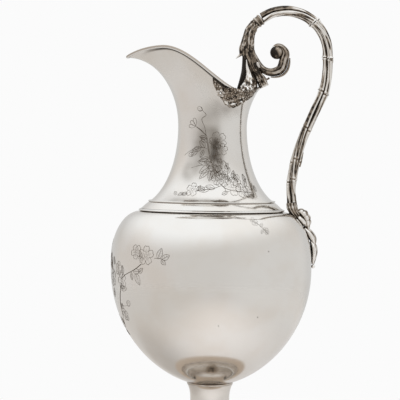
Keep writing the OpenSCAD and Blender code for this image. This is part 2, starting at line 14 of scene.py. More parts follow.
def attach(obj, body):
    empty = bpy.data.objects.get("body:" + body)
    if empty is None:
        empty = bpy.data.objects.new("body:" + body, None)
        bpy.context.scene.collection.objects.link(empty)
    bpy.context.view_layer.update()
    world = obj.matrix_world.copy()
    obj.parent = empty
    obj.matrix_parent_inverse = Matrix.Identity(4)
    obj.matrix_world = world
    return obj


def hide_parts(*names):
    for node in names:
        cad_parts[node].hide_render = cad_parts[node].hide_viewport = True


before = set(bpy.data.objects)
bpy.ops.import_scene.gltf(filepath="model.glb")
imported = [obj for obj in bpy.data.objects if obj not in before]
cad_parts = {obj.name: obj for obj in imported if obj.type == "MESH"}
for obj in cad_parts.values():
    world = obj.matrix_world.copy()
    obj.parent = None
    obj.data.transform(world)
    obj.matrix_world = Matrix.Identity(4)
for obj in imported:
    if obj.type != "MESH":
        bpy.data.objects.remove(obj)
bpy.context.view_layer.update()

bl_info = {
    "name": "Silver wine carafe",
    "version": (1, 0, 0),
    "blender": (4, 5, 0),
    "location": "3D View > Sidebar > Carafe",
    "description": "Dresses a silver wine carafe that has a cast handle of bundled canes",
    "category": "Object",
}

MM = 0.001
BODY = "root"

# Finishes
SATIN = "satin_silver"
SMOKED = "smoked_silver"
POLISHED = "polished_silver"
CAST = "cast_silver"
CUT_LINE = "cut_line"

# Closest two points of a mesh that stay apart, in millimetres
MERGE_GAP = 0.0005
# Name of the mesh attribute that says how dark each point is: tarnish and oxide in recesses, and on some
# pieces painted shade and painted reflection
TARNISH_AND_PAINTED_SHADE = "tarnish"
# Angles between faces, in degrees, above which an edge is drawn sharp
SHEET_CREASE = 38
CAST_CREASE = 60


# Sizes and colours that a user would change


def length(name, description, size_mm):
    """A length property whose default is given in millimetres."""
    return bpy.props.FloatProperty(
        name=name, description=description, default=size_mm * MM, min=0.0, precision=5, unit="LENGTH"
    )


def colour(name, description, value):
    """A colour property."""
    return bpy.props.FloatVectorProperty(
        name=name, description=description, default=value, min=0.0, max=1.0, size=3, subtype="COLOR"
    )


def share(name, description, value):
    """A property without a unit."""
    return bpy.props.FloatProperty(
        name=name, description=description, default=value, min=0.0, max=1.0, subtype="FACTOR"
    )


class CarafeBody(bpy.types.PropertyGroup):
    """Sizes of the bowl, the neck, the mouldings and the foot"""

    bowl_r: length("Bowl radius", "Greatest outer radius of the bowl", 70)
    bowl_depth: length("Bowl depth", "Depth of the bowl below its upright belt", 81.5)
    belt_h: length("Belt height", "Height of the upright belt at the widest place", 7)
    shoulder_rise: length("Shoulder rise", "Rise of the shoulder above the belt", 33.2)
    mouth_r: length("Bowl mouth radius", "Outer radius of the bowl's mouth, under the band", 51.8)
    wall: length("Wall", "Thickness of the raised sheet", 0.9)
    waist_r: length("Waist radius", "Outer radius of the neck's waist", 24)
    neck_foot_r: length("Neck foot radius", "Outer radius of the neck's foot", 43.6)
    waist_h: length("Waist height", "Height of the waist above the neck's foot", 52)
    lip_reach: length("Lip reach", "Reach of the lip's tip from the axis", 59)
    back_reach: length("Back reach", "Reach of the rim's back from the axis", 32)
    lip_half_w: length("Mouth half width", "Half width of the mouth", 31)
    tip_h: length("Tip height", "Height of the lip's tip above the waist", 48)
    crest_h: length("Crest height", "Height of the rim's crests above the waist", 53.5)
    dip_h: length("Dip height", "Height of the rim's dips above the waist", 22.5)
    back_h: length("Back height", "Height of the rim's back above the waist", 26.5)
    rim_wire_r: length("Rim wire radius", "Radius of the wire along the rim", 1)
    band_h: length("Band height", "Height of the moulded band under the neck", 6.8)
    reed_r: length("Reed radius", "Radius of the fine reeds", 0.7)
    step_h: length("Step height", "Height of the stepped rings", 2)
    step_out: length("Step reach", "How far a stepped ring stands out", 1.2)
    foot_h: length("Foot height", "Height of the bowl's underside above the table", 54.5)
    stem_r: length("Stem radius", "Narrowest outer radius of the stem", 13.6)
    stem_waist_h: length("Stem waist height", "Height of the stem's narrowest place", 43)
    stem_spread_r: length("Stem spread radius", "Outer radius of the stem's lower edge", 31)
    stem_spread_h: length("Stem spread height", "Height of the stem's lower edge", 11)
    stem_head_r: length("Stem head radius", "Radius of the stem where it meets the bowl", 16)
    foot_r: length("Foot radius", "Outer radius of the foot's rim", 44)
    foot_rim_h: length("Foot rim height", "Height of the foot's rim", 4)


class CarafeHandle(bpy.types.PropertyGroup):
    """Sizes of the handle and of the rim mounts"""

    loop_r: length("Loop radius", "Radius of the upper loop along its middle line", 29.8)
    loop_out: length("Loop reach", "Distance of the loop's middle behind the rim's back", 18.8)
    loop_up: length("Loop rise", "Height of the loop's middle above the rim's back", 25.4)
    cane_r: length("Cane radius", "Radius of one cane at the top of the loop", 1.9)
    cane_end_r: length("Cane end radius", "Radius of one cane at its lower end", 1.65)
    knuckle_h: length("Joint swelling", "Swelling of a cane at its joints", 0.3)
    root_r: length("Root radius", "Radius of the bark-covered root", 3.5)
    root_bow: length("Root bow", "Depth of the root's forward bow", 5.2)
    scroll_r: length("Scroll radius", "Radius of the scroll's arm at its thickest", 3.5)
    scroll_ball_r: length("Scroll ball radius", "Radius of the ball in the scroll's eye", 4.2)
    stub_r: length("Stub radius", "Radius of the sawn-off branch", 2.8)
    sheath_t: length("Sheath thickness", "Thickness of the sheath before the root", 1.3)
    husk_t: length("Husk thickness", "Thickness of the leaf husks, which sizes their end bead", 4.6)
    mount_drop: length("Mount depth", "Depth of a rim mount below the rim", 8.5)
    mount_t: length("Mount thickness", "Greatest thickness of a rim mount", 2.6)
    blossom_r: length("Blossom radius", "Radius of a cast blossom", 3)


class CarafeFinish(bpy.types.PropertyGroup):
    """Colours and gloss of the silver"""

    satin: colour("Satin silver", "Raised bowl, neck and stem", (0.80, 0.785, 0.76))
    satin_warm: colour("Satin silver, warm", "Faint warm clouds on the raised sheet", (0.77, 0.735, 0.69))
    polished: colour("Polished silver", "Mouldings, reeds and the rim's wire", (0.84, 0.825, 0.80))
    cast: colour("Cast silver", "Handle and mounts", (0.75, 0.72, 0.675))
    rubbed: colour("Rubbed silver", "Crests of the castings", (0.97, 0.96, 0.94))
    # Brown and oxide also colour the painted shade on the sheath, on the scroll's ball and on the near cane
    brown: colour("Brown patina", "Flanks of the castings", (0.34, 0.28, 0.22))
    oxide: colour("Dark oxide", "Recesses of the castings", (0.018, 0.013, 0.009))
    # Tan and stain also colour the bowl's painted reflection of the foot; smoke and soot also colour the
    # neck's painted shade under the mount and under the rim's wire, and its painted reflection of the handle
    tan: colour("Tan tarnish", "First tarnish of the sheet", (0.485, 0.425, 0.365))
    stain: colour("Tarnish", "Tarnish in joints and round the engraving", (0.095, 0.08, 0.066))
    smoke: colour("Smoke", "First tarnish of the neck", (0.37, 0.345, 0.315))
    soot: colour("Soot", "Deep tarnish of the neck", (0.088, 0.081, 0.073))
    line: colour("Cut line", "Engraved lines", (0.10, 0.072, 0.048))
    satin_gloss: share("Satin roughness", "Roughness of the raised sheet", 0.11)
    polished_gloss: share("Polished roughness", "Roughness of the mouldings", 0.12)
    cast_gloss: share("Cast roughness", "Roughness of the castings", 0.13)


class CarafeStage(bpy.types.PropertyGroup):
    """Camera and surroundings"""

    eye: bpy.props.FloatVectorProperty(
        name="Camera place", description="Where the camera stands", default=(-0.0085, -0.98, 0.21),
        size=3, subtype="TRANSLATION", unit="LENGTH"
    )
    focal: bpy.props.FloatProperty(
        name="Focal length", description="Focal length on a 36 mm sensor, in millimetres", default=126.0
    )
    drop: bpy.props.FloatProperty(
        name="Frame drop", description="How far the frame sits below the lens axis", default=-0.0925
    )
    roll: bpy.props.FloatProperty(
        name="Roll", description="Turn of the camera about its axis", default=math.radians(-0.6),
        subtype="ANGLE"
    )
    white: share("Background", "Brightness of the background that the camera sees", 0.965)


# Small helpers


def cosd(angle):
    """Cosine of an angle in degrees."""
    return math.cos(math.radians(angle))


def sind(angle):
    """Sine of an angle in degrees."""
    return math.sin(math.radians(angle))


def polar(r, angle):
    """Place at a distance and an angle in degrees."""
    return r * cosd(angle), r * sind(angle)


def mix(a, b, t):
    """Value between a and b."""
    return a + (b - a) * t


def clamp(t):
    """Value kept between 0 and 1."""
    return min(max(t, 0.0), 1.0)


def ease(t):
    """Soft step from 0 to 1."""
    return (1 - cosd(180 * clamp(t))) / 2


def steps(count):
    """Even shares from 0 to 1."""
    return [i / count for i in range(count + 1)]


def bump(t, place, width):
    """Round bump of height 1 at a place."""
    return math.exp(-(((t - place) / width) ** 2))


def curl_out(t, curl):
    """Flare from 0 to 1 along part of a quarter circle."""
    return (1 - math.sqrt(1 - (curl * t) ** 2)) / (1 - math.sqrt(1 - curl**2))


def curve_at(points, t):
    """Point at share t of a smooth curve through points."""
    last = len(points) - 1
    x = clamp(t) * last
    i = min(int(x), last - 1)
    k = x - i
    a = points[max(i - 1, 0)]
    b = points[i]
    c = points[i + 1]
    d = points[min(i + 2, last)]
    return (b * 2 + (c - a) * k + (a * 2 - b * 5 + c * 4 - d) * k * k + (b * 3 - a - c * 3 + d) * k**3) / 2


def heading_at(points, t, step=0.004):
    """Direction of that curve at share t."""
    return (curve_at(points, min(t + step, 1)) - curve_at(points, max(t - step, 0))).normalized()


def in_space(p, y=0.0):
    """Point of the handle's plane in space."""
    return Vector((p.x, y, p.y))


def oval(d, half, half_w, angle):
    """Offset on an oval that stands square to a heading in the handle's plane."""
    lift = half * cosd(angle)
    return Vector((-d.y * lift, half_w * sind(angle), d.x * lift))


def split_shape(base, shape):
    """Points of a rod from a base, its half thicknesses and its half widths."""
    points = [base + Vector(row[:2]) for row in shape]
    return points, [row[2] for row in shape], [row[3] for row in shape]


class Carafe:
    """Outlines of the carafe in millimetres, from the sizes in the panel."""

    bowl_point = 0.55
    ledge_w = 4.5
    mouth_flat_w = 1.8
    crest_u = 62
    dip_u = 138
    egg = 0.42
    neck_curl = 0.936
    stem_curl = 0.95
    band_t = 2.2
    seam = 0.12
    mount_from = 107
    mount_to = 156
    mount_top = 0.975
    mount_rise = 0.28
    mount_fall = 0.66
    mount_end_h = 1.6
    mount_edge_t = 0.7
    mount_deeper = 1.12
    # Depth above the rim, as a share of the mount's, and where along the mount it begins and how fast
    mount_over = 1.8
    mount_over_from = 0.18
    mount_over_run = 0.24
    bind_a = 130
    bind_half = 4.5
    root_shape = ((0, 0), (0.15, 0.37), (0.35, 0.71), (0.54, 0.98), (0.68, 0.98))
    root_inset_w = 3.4
    root_short_a = 0.8
    root_follow_a = 11
    sheath_spread = 45
    sheath_wrap = 75
    sheath_share = 0.45
    sheath_wider = 1.12
    sheath_arch_h = 1.5
    sheath_foot_h = 0.6
    sheath_curl = 2.4
    stub_share = 0.31
    stub_slope = (0.46, -1)
    stub_len = 14.4
    stub_clear = 0.45
    slim_share = 0.4
    slim_at = 0.22
    slim_run = 0.14
    ball_back_w = 6.5
    ball_up_h = 1.4
    scroll_shape = (
        (227, 2.55, 0.66), (255, 2.2, 0.82), (284, 1.35, 0.96), (317, -0.05, 0.94),
        (354, -0.2, 0.8), (400, -0.3, 0.56), (440, -0.35, 0.44), (478, -0.35, 0.3),
    )
    scroll_rootward = ((0.62, 0.17), (0.47, 0.5))
    scroll_clear_w = -1.6
    knee_share = 0.955
    knee_clear_h = 0.9
    cane_short_a = 1.3
    cane_angles = (108, 90, 72, 54, 36, 18, 0)
    sweep_shape = (
        (0.11, 0.01), (0.24, 0.13), (0.396, 0.48), (0.539, 0.775), (0.695, 0.99), (0.838, 1.09), (0.93, 1.08),
    )
    knee_stop = (-1.7, 2.6)
    knuckle_at = (0.283, 0.482, 0.602, 0.705, 0.794, 0.852, 0.97)
    cane_twist = 140
    near_start = -135
    low_twist = 80
    low_from = 0.5
    # Angle between the line from one cane's middle to the next and the line to the bundle's middle
    bundle_a = 30

    def __init__(self, scene):
        for kind, group in ((CarafeBody, scene.carafe_body), (CarafeHandle, scene.carafe_handle)):
            for key in kind.__annotations__:
                setattr(self, key, getattr(group, key) / MM)
        self.belt_z = self.foot_h + self.bowl_depth
        self.shoulder_z = self.belt_z + self.belt_h
        self.top_r = self.mouth_r - self.mouth_flat_w
        self.shoulder_run = self.bowl_r - self.top_r
        self.mouth_z = self.shoulder_z + self.shoulder_rise
        self.neck_z = self.mouth_z + self.band_h
        self.waist_z = self.neck_z + self.waist_h
        self.stem_z = self.under_z(self.stem_head_r) - 2 * self.reed_r
        self.rim_top = self.waist_z + self.back_h + 2 * self.rim_wire_r + 2 * self.seam
        self.loop_x = self.back_reach + self.loop_out
        self.loop_z = self.waist_z + self.back_h + self.loop_up
        self.lay_out_handle()

    # Bowl

    def bowl_under(self, a, inset=0.0):
        """Outline below the belt, from -90 at the bottom to 0 at the belt."""
        r = (self.bowl_r - inset) * max(cosd(a), 0) ** (2 * self.bowl_point)
        return r, self.belt_z + (self.bowl_depth - inset) * sind(a)

    def bowl_over(self, a, inset=0.0):
        """Outline above the belt, from 0 to 90 at the shoulder's flat top."""
        r = self.top_r + (self.shoulder_run - inset) * cosd(a)
        return r, self.shoulder_z + (self.shoulder_rise - inset) * sind(a)

    def bowl_radius(self, z):
        """Outer radius at a height."""
        if z > self.shoulder_z:
            up = min((z - self.shoulder_z) / self.shoulder_rise, 1)
            return self.top_r + self.shoulder_run * math.sqrt(1 - up * up)
        if z > self.belt_z:
            return self.bowl_r
        down = min((self.belt_z - z) / self.bowl_depth, 1)
        return self.bowl_r * (1 - down * down) ** self.bowl_point

    def bowl_out(self, z):
        """Way out from the surface at a height, in the plane of the axis."""
        near = 0.1
        return Vector((2 * near, self.bowl_radius(z - near) - self.bowl_radius(z + near))).normalized()

    def on_bowl(self, z, off):
        """Point off the bowl's surface, in the plane of the axis."""
        return Vector((self.bowl_radius(z), z)) + self.bowl_out(z) * off

    def under_z(self, r):
        """Height of the underside at a radius."""
        return self.belt_z - self.bowl_depth * math.sqrt(1 - (r / self.bowl_r) ** (1 / self.bowl_point))

    def bowl_skin(self, angle, z):
        """Point and way out on the bowl at an angle from the front and a height."""
        r = self.bowl_radius(z)
        out = self.bowl_out(z)
        point = Vector((r * sind(angle), -r * cosd(angle), z))
        return point, Vector((out.x * sind(angle), -out.x * cosd(angle), out.y))

    # Neck and lip; the rim runs from the lip's tip, u = 0, to its back, u = 180

    def rim_rise(self, u):
        """Height of the rim above the waist."""
        u = abs((u + 180) % 360 - 180)
        if u < self.crest_u:
            return mix(self.tip_h, self.crest_h, ease(u / self.crest_u))
        if u < self.dip_u:
            return mix(self.crest_h, self.dip_h, ease((u - self.crest_u) / (self.dip_u - self.crest_u)))
        return mix(self.dip_h, self.back_h, ease((u - self.dip_u) / (180 - self.dip_u)))

    def rim_plan(self, u):
        """Place of the rim seen from above."""
        x = (self.back_reach - self.lip_reach) / 2 - (self.back_reach + self.lip_reach) / 2 * cosd(u)
        return Vector((x, self.lip_half_w * sind(u) * (1 - self.egg * cosd(u))))

    def neck_at(self, u, s):
        """Point of the lip's wall, from the waist, s = 0, to the rim, s = 1."""
        tipward = ((1 + cosd(u)) / 2) ** 3
        reach = mix(s * s, 1 - math.sqrt(max(1 - s * s, 0)), tipward)
        plan = self.rim_plan(u)
        r = mix(self.waist_r, plan.length, reach)
        plan.normalize()
        return Vector((plan.x * r, plan.y * r, self.waist_z + self.rim_rise(u) * s))

    def neck_out(self, u, s):
        """Way out from the lip's wall."""
        up = self.neck_at(u, min(s + 0.01, 1)) - self.neck_at(u, s - 0.01)
        return up.cross(self.neck_at(u + 1, s) - self.neck_at(u - 1, s)).normalized()

    def neck_up(self, u):
        """Way up along the lip's wall at the rim."""
        return (self.neck_at(u, 1) - self.neck_at(u, 0.98)).normalized()

    def trumpet(self, t):
        """Radius below the waist, from the waist, t = 0, to the neck's foot, t = 1."""
        return mix(self.waist_r, self.neck_foot_r, curl_out(t, self.neck_curl))

    def neck_wall(self, u, level, inset):
        """Point of the neck from its foot, level 0, past the waist, 0.5, to the rim, 1."""
        if level < 0.5:
            t = cosd(180 * level)
            d = self.rim_plan(u).normalized()
            r = self.trumpet(t) - inset
            return Vector((d.x * r, d.y * r, self.waist_z - self.waist_h * t))
        s = sind(180 * (level - 0.5))
        return self.neck_at(u, s) - self.neck_out(u, max(s, 0.02)) * inset

    def neck_skin(self, angle, z):
        """Point and way out on the camera side of the neck, at an angle from the front and a height."""
        side = Vector((sind(angle), -cosd(angle)))
        if z <= self.waist_z:
            near = 0.002
            t = clamp((self.waist_z - z) / self.waist_h)
            slope = (self.trumpet(min(t + near, 1)) - self.trumpet(t)) / (near * self.waist_h)
            r = self.trumpet(t)
            out = Vector((side.x, side.y, slope)).normalized()
            return Vector((side.x * r, side.y * r, z)), out
        low, high = -180.0, 0.0
        for _ in range(24):
            u = (low + high) / 2
            plan = self.rim_plan(u)
            if math.degrees(math.atan2(plan.x, -plan.y)) < angle:
                high = u
            else:
                low = u
        s = clamp((z - self.waist_z) / self.rim_rise(u))
        return self.neck_at(u, s), self.neck_out(u, max(s, 0.02))

    # Foot

    def stem_at(self, z):
        """Outer radius of the stem at a height."""
        if z > self.stem_waist_h:
            t = (z - self.stem_waist_h) / (self.stem_z - self.stem_waist_h)
            return mix(self.stem_r, self.stem_head_r, t**3)
        t = (self.stem_waist_h - z) / (self.stem_waist_h - self.stem_spread_h)
        return mix(self.stem_r, self.stem_spread_r, curl_out(t, self.stem_curl))

    # Rim mounts

    def mount_place(self, u, v, h, frill=0.0):
        """Point of a mount between the rim, v = 0, and its lower edge, v = 1, at a height above the neck."""
        t = clamp((u - self.mount_from) / (self.mount_to - self.mount_from))
        swell = min(t / self.mount_rise, 1) ** 0.5 * ease((1 - t) / self.mount_fall)
        depth = mix(self.mount_end_h, self.mount_drop * self.mount_deeper, swell) + frill * swell
        if v < 0:
            depth = self.mount_drop * self.mount_over * ease((t - self.mount_over_from) / self.mount_over_run)
        s = self.mount_top - v * depth / self.rim_rise(u)
        return self.neck_at(u, s) + self.neck_out(u, min(s, 0.98)) * h

    def mount_height(self, u, v):
        """Height of a mount above the neck."""
        t = (u - self.mount_from) / (self.mount_to - self.mount_from)
        swell = max(sind(180 * clamp(t)) * sind(180 * mix(0.1, 0.9, v)), 0) ** 0.6
        return mix(self.mount_edge_t, self.mount_t, swell)

    # Handle

    def loop_at(self, a):
        """Point of the loop's middle line."""
        return Vector((self.loop_x, self.loop_z)) + Vector(polar(self.loop_r, a))

    def lay_out_handle(self):
        """Middle lines of the handle's members, in the plane of the axis and the lip."""
        foot = Vector((self.back_reach - self.root_inset_w, self.rim_top + self.seam))
        head = self.loop_at(self.bind_a + self.bind_half + self.root_short_a)
        self.root_points = [
            mix(foot, head, up) - Vector((bow * self.root_bow, 0)) for up, bow in self.root_shape
        ]
        self.root_points += [self.loop_at(self.bind_a + self.bind_half + self.root_follow_a), head]
        self.ball_at = Vector((self.loop_x - self.ball_back_w, self.loop_z + self.ball_up_h))
        self.scroll_points = []
        self.scroll_halves = []
        for t, half in self.scroll_rootward:
            self.scroll_points.append(self.root_side(t, 1, self.scroll_r * half + self.scroll_clear_w))
            self.scroll_halves.append(self.scroll_r * half)
        for a, gap, half in self.scroll_shape:
            reach = self.scroll_ball_r + self.scroll_r * (gap + half)
            self.scroll_points.append(self.ball_at + Vector(polar(reach, a)))
            self.scroll_halves.append(self.scroll_r * half)
        bundle = 1 + 1 / cosd(self.bundle_a)
        self.bundle_top_r = self.cane_r * bundle
        self.bundle_end_r = self.cane_end_r * bundle
        self.knee = self.on_bowl(
            self.shoulder_z + self.shoulder_rise * self.knee_share, self.bundle_end_r + self.knee_clear_h
        )
        first = self.bind_a - self.bind_half - self.cane_short_a
        self.cane_points = [self.loop_at(a) for a in (first, *self.cane_angles)]
        side = self.loop_at(0)
        self.cane_points += [
            Vector((mix(side.x, self.knee.x, inward), mix(self.loop_z, self.knee.y, down)))
            for down, inward in self.sweep_shape
        ]
        self.cane_points.append(self.knee + Vector(self.knee_stop))
        self.stub_start = self.root_side(self.stub_share, 1, self.stub_r * self.stub_clear + self.seam)
        self.stub_dir = Vector(self.stub_slope).normalized()

    def root_half(self, t):
        """Knotty half thickness of the root."""
        slim = self.slim_share * bump(t, self.slim_at, self.slim_run)
        return self.root_r * (0.98 + 0.06 * cosd(1400 * t) + 0.06 * cosd(520 * t + 40) - slim)

    def root_side(self, t, side, clear):
        """Point beside the root, on its lip side, -1, or its loop side, 1."""
        d = heading_at(self.root_points, t)
        return curve_at(self.root_points, t) + Vector((d.y, -d.x)) * side * (self.root_half(t) + clear)

    def sheath_at(self, w, v, out):
        """Point of the sheath across, w from -1 to 1, and up, v from 0 to 1."""
        top = curve_at(self.root_points, self.sheath_share)
        r = self.root_r * self.sheath_wider + 2 * self.seam
        u = 180 - self.sheath_spread
        foot = self.neck_at(u, 1) + self.neck_up(u) * (2 * self.rim_wire_r + 3 * self.seam)
        low_z = mix(self.rim_top + self.sheath_arch_h, foot.z + self.sheath_foot_h, w * w)
        low = Vector((mix(top.x - r, foot.x, w * w), foot.y * w, low_z))
        spread = (1 - v) ** self.sheath_curl
        r += out
        high_x = top.x - r * cosd(self.sheath_wrap * w)
        high_y = r * sind(self.sheath_wrap * w)
        return Vector((mix(high_x, low.x - out, spread), mix(high_y, low.y, spread), mix(low.z, top.y, v)))

    def cane_turn(self, t):
        """Twist of the bundle at share t, quicker on its lower half."""
        return self.cane_twist * t + self.low_twist * clamp((t - self.low_from) / (1 - self.low_from))

    def cane_half(self, t):
        """Radius of a cane between its joints."""
        return mix(self.cane_r, self.cane_end_r, t)

    def cane_middle(self, t, start, clear):
        """Middle of one cane of the twisted bundle, and the bundle's heading."""
        d = heading_at(self.cane_points, t)
        off = (self.cane_half(t) + self.seam / 2) / cosd(self.bundle_a) + clear
        return in_space(curve_at(self.cane_points, t)) + oval(d, off, off, start + self.cane_turn(t)), d


# Mesh helpers


def start_mesh():
    """New bmesh that carries the darkness attribute, which holds tarnish and painted shade."""
    bm = bmesh.new()
    bm.verts.layers.float.new(TARNISH_AND_PAINTED_SHADE)
    return bm


def paint(bm, tone):
    """Darkens every point of a mesh by tone(place)."""
    dark = bm.verts.layers.float[TARNISH_AND_PAINTED_SHADE]
    for v in bm.verts:
        v[dark] = tone(v.co)


def lay_grid(bm, columns, rows, place):
    """Grid whose points go to place(across, along), which gives a place and its darkness."""
    half = 0.5
    dark = bm.verts.layers.float[TARNISH_AND_PAINTED_SHADE]
    verts = bmesh.ops.create_grid(bm, x_segments=columns, y_segments=rows, size=half)["verts"]
    for v in verts:
        v.co, v[dark] = place(v.co.x + half, v.co.y + half)
    bmesh.ops.remove_doubles(bm, verts=verts, dist=MERGE_GAP)


def roll(bm, around, along, place):
    """Grid rolled into a tube with closed ends."""
    lay_grid(bm, around, along, place)
    bmesh.ops.holes_fill(bm, edges=[e for e in bm.edges if e.is_boundary], sides=0)


def rod(bm, around, along, points, size):
    """Rod along a curve in the handle's plane; size(turn, t) gives half thickness, half width, darkness."""

    def place(turn, t):
        half, half_w, dark = size(turn, t)
        return in_space(curve_at(points, t)) + oval(heading_at(points, t), half, half_w, -360 * turn), dark

    roll(bm, around, along, place)


def spin(bm, outline, around):
    """Closed outline of (radius, height) points spun round the axis."""
    verts = [bm.verts.new((r, 0, z)) for r, z in outline]
    edges = [bm.edges.new((a, b)) for a, b in zip(verts, verts[1:] + verts[:1])]
    bmesh.ops.spin(
        bm, geom=verts + edges, cent=(0, 0, 0), axis=(0, 0, 1), angle=math.tau, steps=around,
        use_merge=True, use_duplicate=False
    )
    bmesh.ops.remove_doubles(bm, verts=bm.verts, dist=MERGE_GAP)


def bead(bm, place, radius, stretch=(1, 1, 1), turn=None, fine=12):
    """Small round boss, stretched, turned and moved to its place."""
    rings = max(fine // 2, 4)
    verts = bmesh.ops.create_uvsphere(bm, u_segments=fine, v_segments=rings, radius=radius)["verts"]
    bmesh.ops.scale(bm, vec=stretch, verts=verts)
    if turn is not None:
        bmesh.ops.rotate(bm, cent=(0, 0, 0), matrix=turn, verts=verts)
    bmesh.ops.translate(bm, vec=place, verts=verts)
    return verts


def dent(bm, depth, size):
    """Faint unevenness of sheet raised by hand."""
    bm.normal_update()
    for v in bm.verts:
        v.co += v.normal * depth * noise.noise(v.co / size)


def show_mesh(name, mesh, finish, nodes):
    """Object of a finished mesh, riding on the body in the place of CAD nodes."""
    mesh.materials.append(bpy.data.materials[finish])
    piece = bpy.data.objects.new(name, mesh)
    bpy.context.scene.collection.objects.link(piece)
    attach(piece, BODY)
    if nodes:
        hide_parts(*nodes)


def finish_piece(bm, name, finish, *nodes, crease=SHEET_CREASE):
    """Turns a bmesh in millimetres into a piece of the carafe."""
    bmesh.ops.recalc_face_normals(bm, faces=bm.faces)
    bmesh.ops.scale(bm, vec=(MM, MM, MM), verts=bm.verts)
    mesh = bpy.data.meshes.new(name)
    bm.to_mesh(mesh)
    bm.free()
    mesh.shade_smooth()
    mesh.set_sharp_from_angle(angle=math.radians(crease))
    show_mesh(name, mesh, finish, nodes)


def cast_rod(name, node, around, along, points, size, crease=CAST_CREASE):
    """Cast piece made of one rod."""
    bm = start_mesh()
    rod(bm, around, along, points, size)
    finish_piece(bm, name, CAST, node, crease=crease)


# Finishes


def fill_inputs(tree, node, inputs):
    """Gives a node's inputs their values; a socket is linked."""
    for key, value in inputs.items():
        if isinstance(value, bpy.types.NodeSocket):
            tree.links.new(value, node.inputs[key])
        else:
            node.inputs[key].default_value = value


def add_node(tree, kind, inputs=None, **settings):
    """Shader node with its settings and inputs."""
    node = tree.nodes.new(kind)
    for key, value in settings.items():
        setattr(node, key, value)
    fill_inputs(tree, node, inputs or {})
    return node


def new_finish(name):
    """Empty material with its tree, shader and Object coordinates."""
    material = bpy.data.materials.new(name)
    material.use_nodes = True
    tree = material.node_tree
    return tree, tree.nodes["Principled BSDF"], add_node(tree, "ShaderNodeTexCoord").outputs["Object"]


def map_range(tree, source, low, high, to_low=0.0, to_high=1.0):
    """Soft range of a value."""
    inputs = {"Value": source, "From Min": low, "From Max": high, "To Min": to_low, "To Max": to_high}
    return add_node(tree, "ShaderNodeMapRange", inputs, interpolation_type="SMOOTHSTEP").outputs["Result"]


def mix_colours(tree, factor, a, b):
    """Colour between two, each a socket or a colour."""
    ends = [end if isinstance(end, bpy.types.NodeSocket) else (*end, 1) for end in (a, b)]
    node = add_node(tree, "ShaderNodeMix", {"Factor": factor, 6: ends[0], 7: ends[1]}, data_type="RGBA")
    return node.outputs[2]


def add_noise(tree, coords, scale, detail=3.0):
    """Noise on the given coordinates."""
    inputs = {"Vector": coords, "Scale": scale, "Detail": detail}
    return add_node(tree, "ShaderNodeTexNoise", inputs).outputs["Fac"]


def add_bump(tree, strength, distance, height, **inputs):
    """Normal of a bumpy skin."""
    inputs |= {"Strength": strength, "Distance": distance, "Height": height}
    return add_node(tree, "ShaderNodeBump", inputs).outputs["Normal"]


def add_hollow(tree, reach, samples):
    """Openness of the surface, low in recesses and joints."""
    return add_node(tree, "ShaderNodeAmbientOcclusion", {"Distance": reach}, samples=samples).outputs["AO"]


def deepest(tree, shade):
    """Greater of a shade and the darkness painted on the mesh."""
    painted = add_node(tree, "ShaderNodeAttribute", attribute_name=TARNISH_AND_PAINTED_SHADE).outputs["Fac"]
    return add_node(tree, "ShaderNodeMath", {0: shade, 1: painted}, operation="MAXIMUM").outputs[0]


def make_sheet_finish(name, plain, warm, tan, stain, gloss):
    """Hand-polished sheet silver: faint clouds, fine rubbing lines, uneven gloss, tarnish in its joints."""
    cloud_scale = 38.0
    smear_scale = 342.0
    rub_stretch = (60.0, 60.0, 1400.0)
    rub_height = 0.000012
    joint_reach = 0.0009
    joint_depth = 0.65
    tree, shader, coords = new_finish(name)
    clouds = map_range(tree, add_noise(tree, coords, cloud_scale), 0.35, 0.7)
    joint = map_range(tree, add_hollow(tree, joint_reach, 8), 0.25, 0.8, joint_depth, 0.0)
    # The darkness painted on the mesh joins here: tarnish, and on some pieces painted shade and painted
    # reflection
    dark = deepest(tree, joint)
    tinted = mix_colours(tree, map_range(tree, dark, 0.0, 0.5), mix_colours(tree, clouds, plain, warm), tan)
    smear = add_noise(tree, coords, smear_scale, 4.0)
    stretched = add_node(tree, "ShaderNodeMapping", {"Vector": coords, "Scale": rub_stretch})
    rub = add_noise(tree, stretched.outputs["Vector"], 1.0, 2.0)
    fill_inputs(tree, shader, {
        "Base Color": mix_colours(tree, map_range(tree, dark, 0.45, 1.0), tinted, stain),
        "Metallic": 1.0,
        "Roughness": map_range(tree, smear, 0.3, 0.75, gloss * 0.85, gloss * 1.3),
        "Normal": add_bump(tree, 0.5, rub_height, rub),
    })


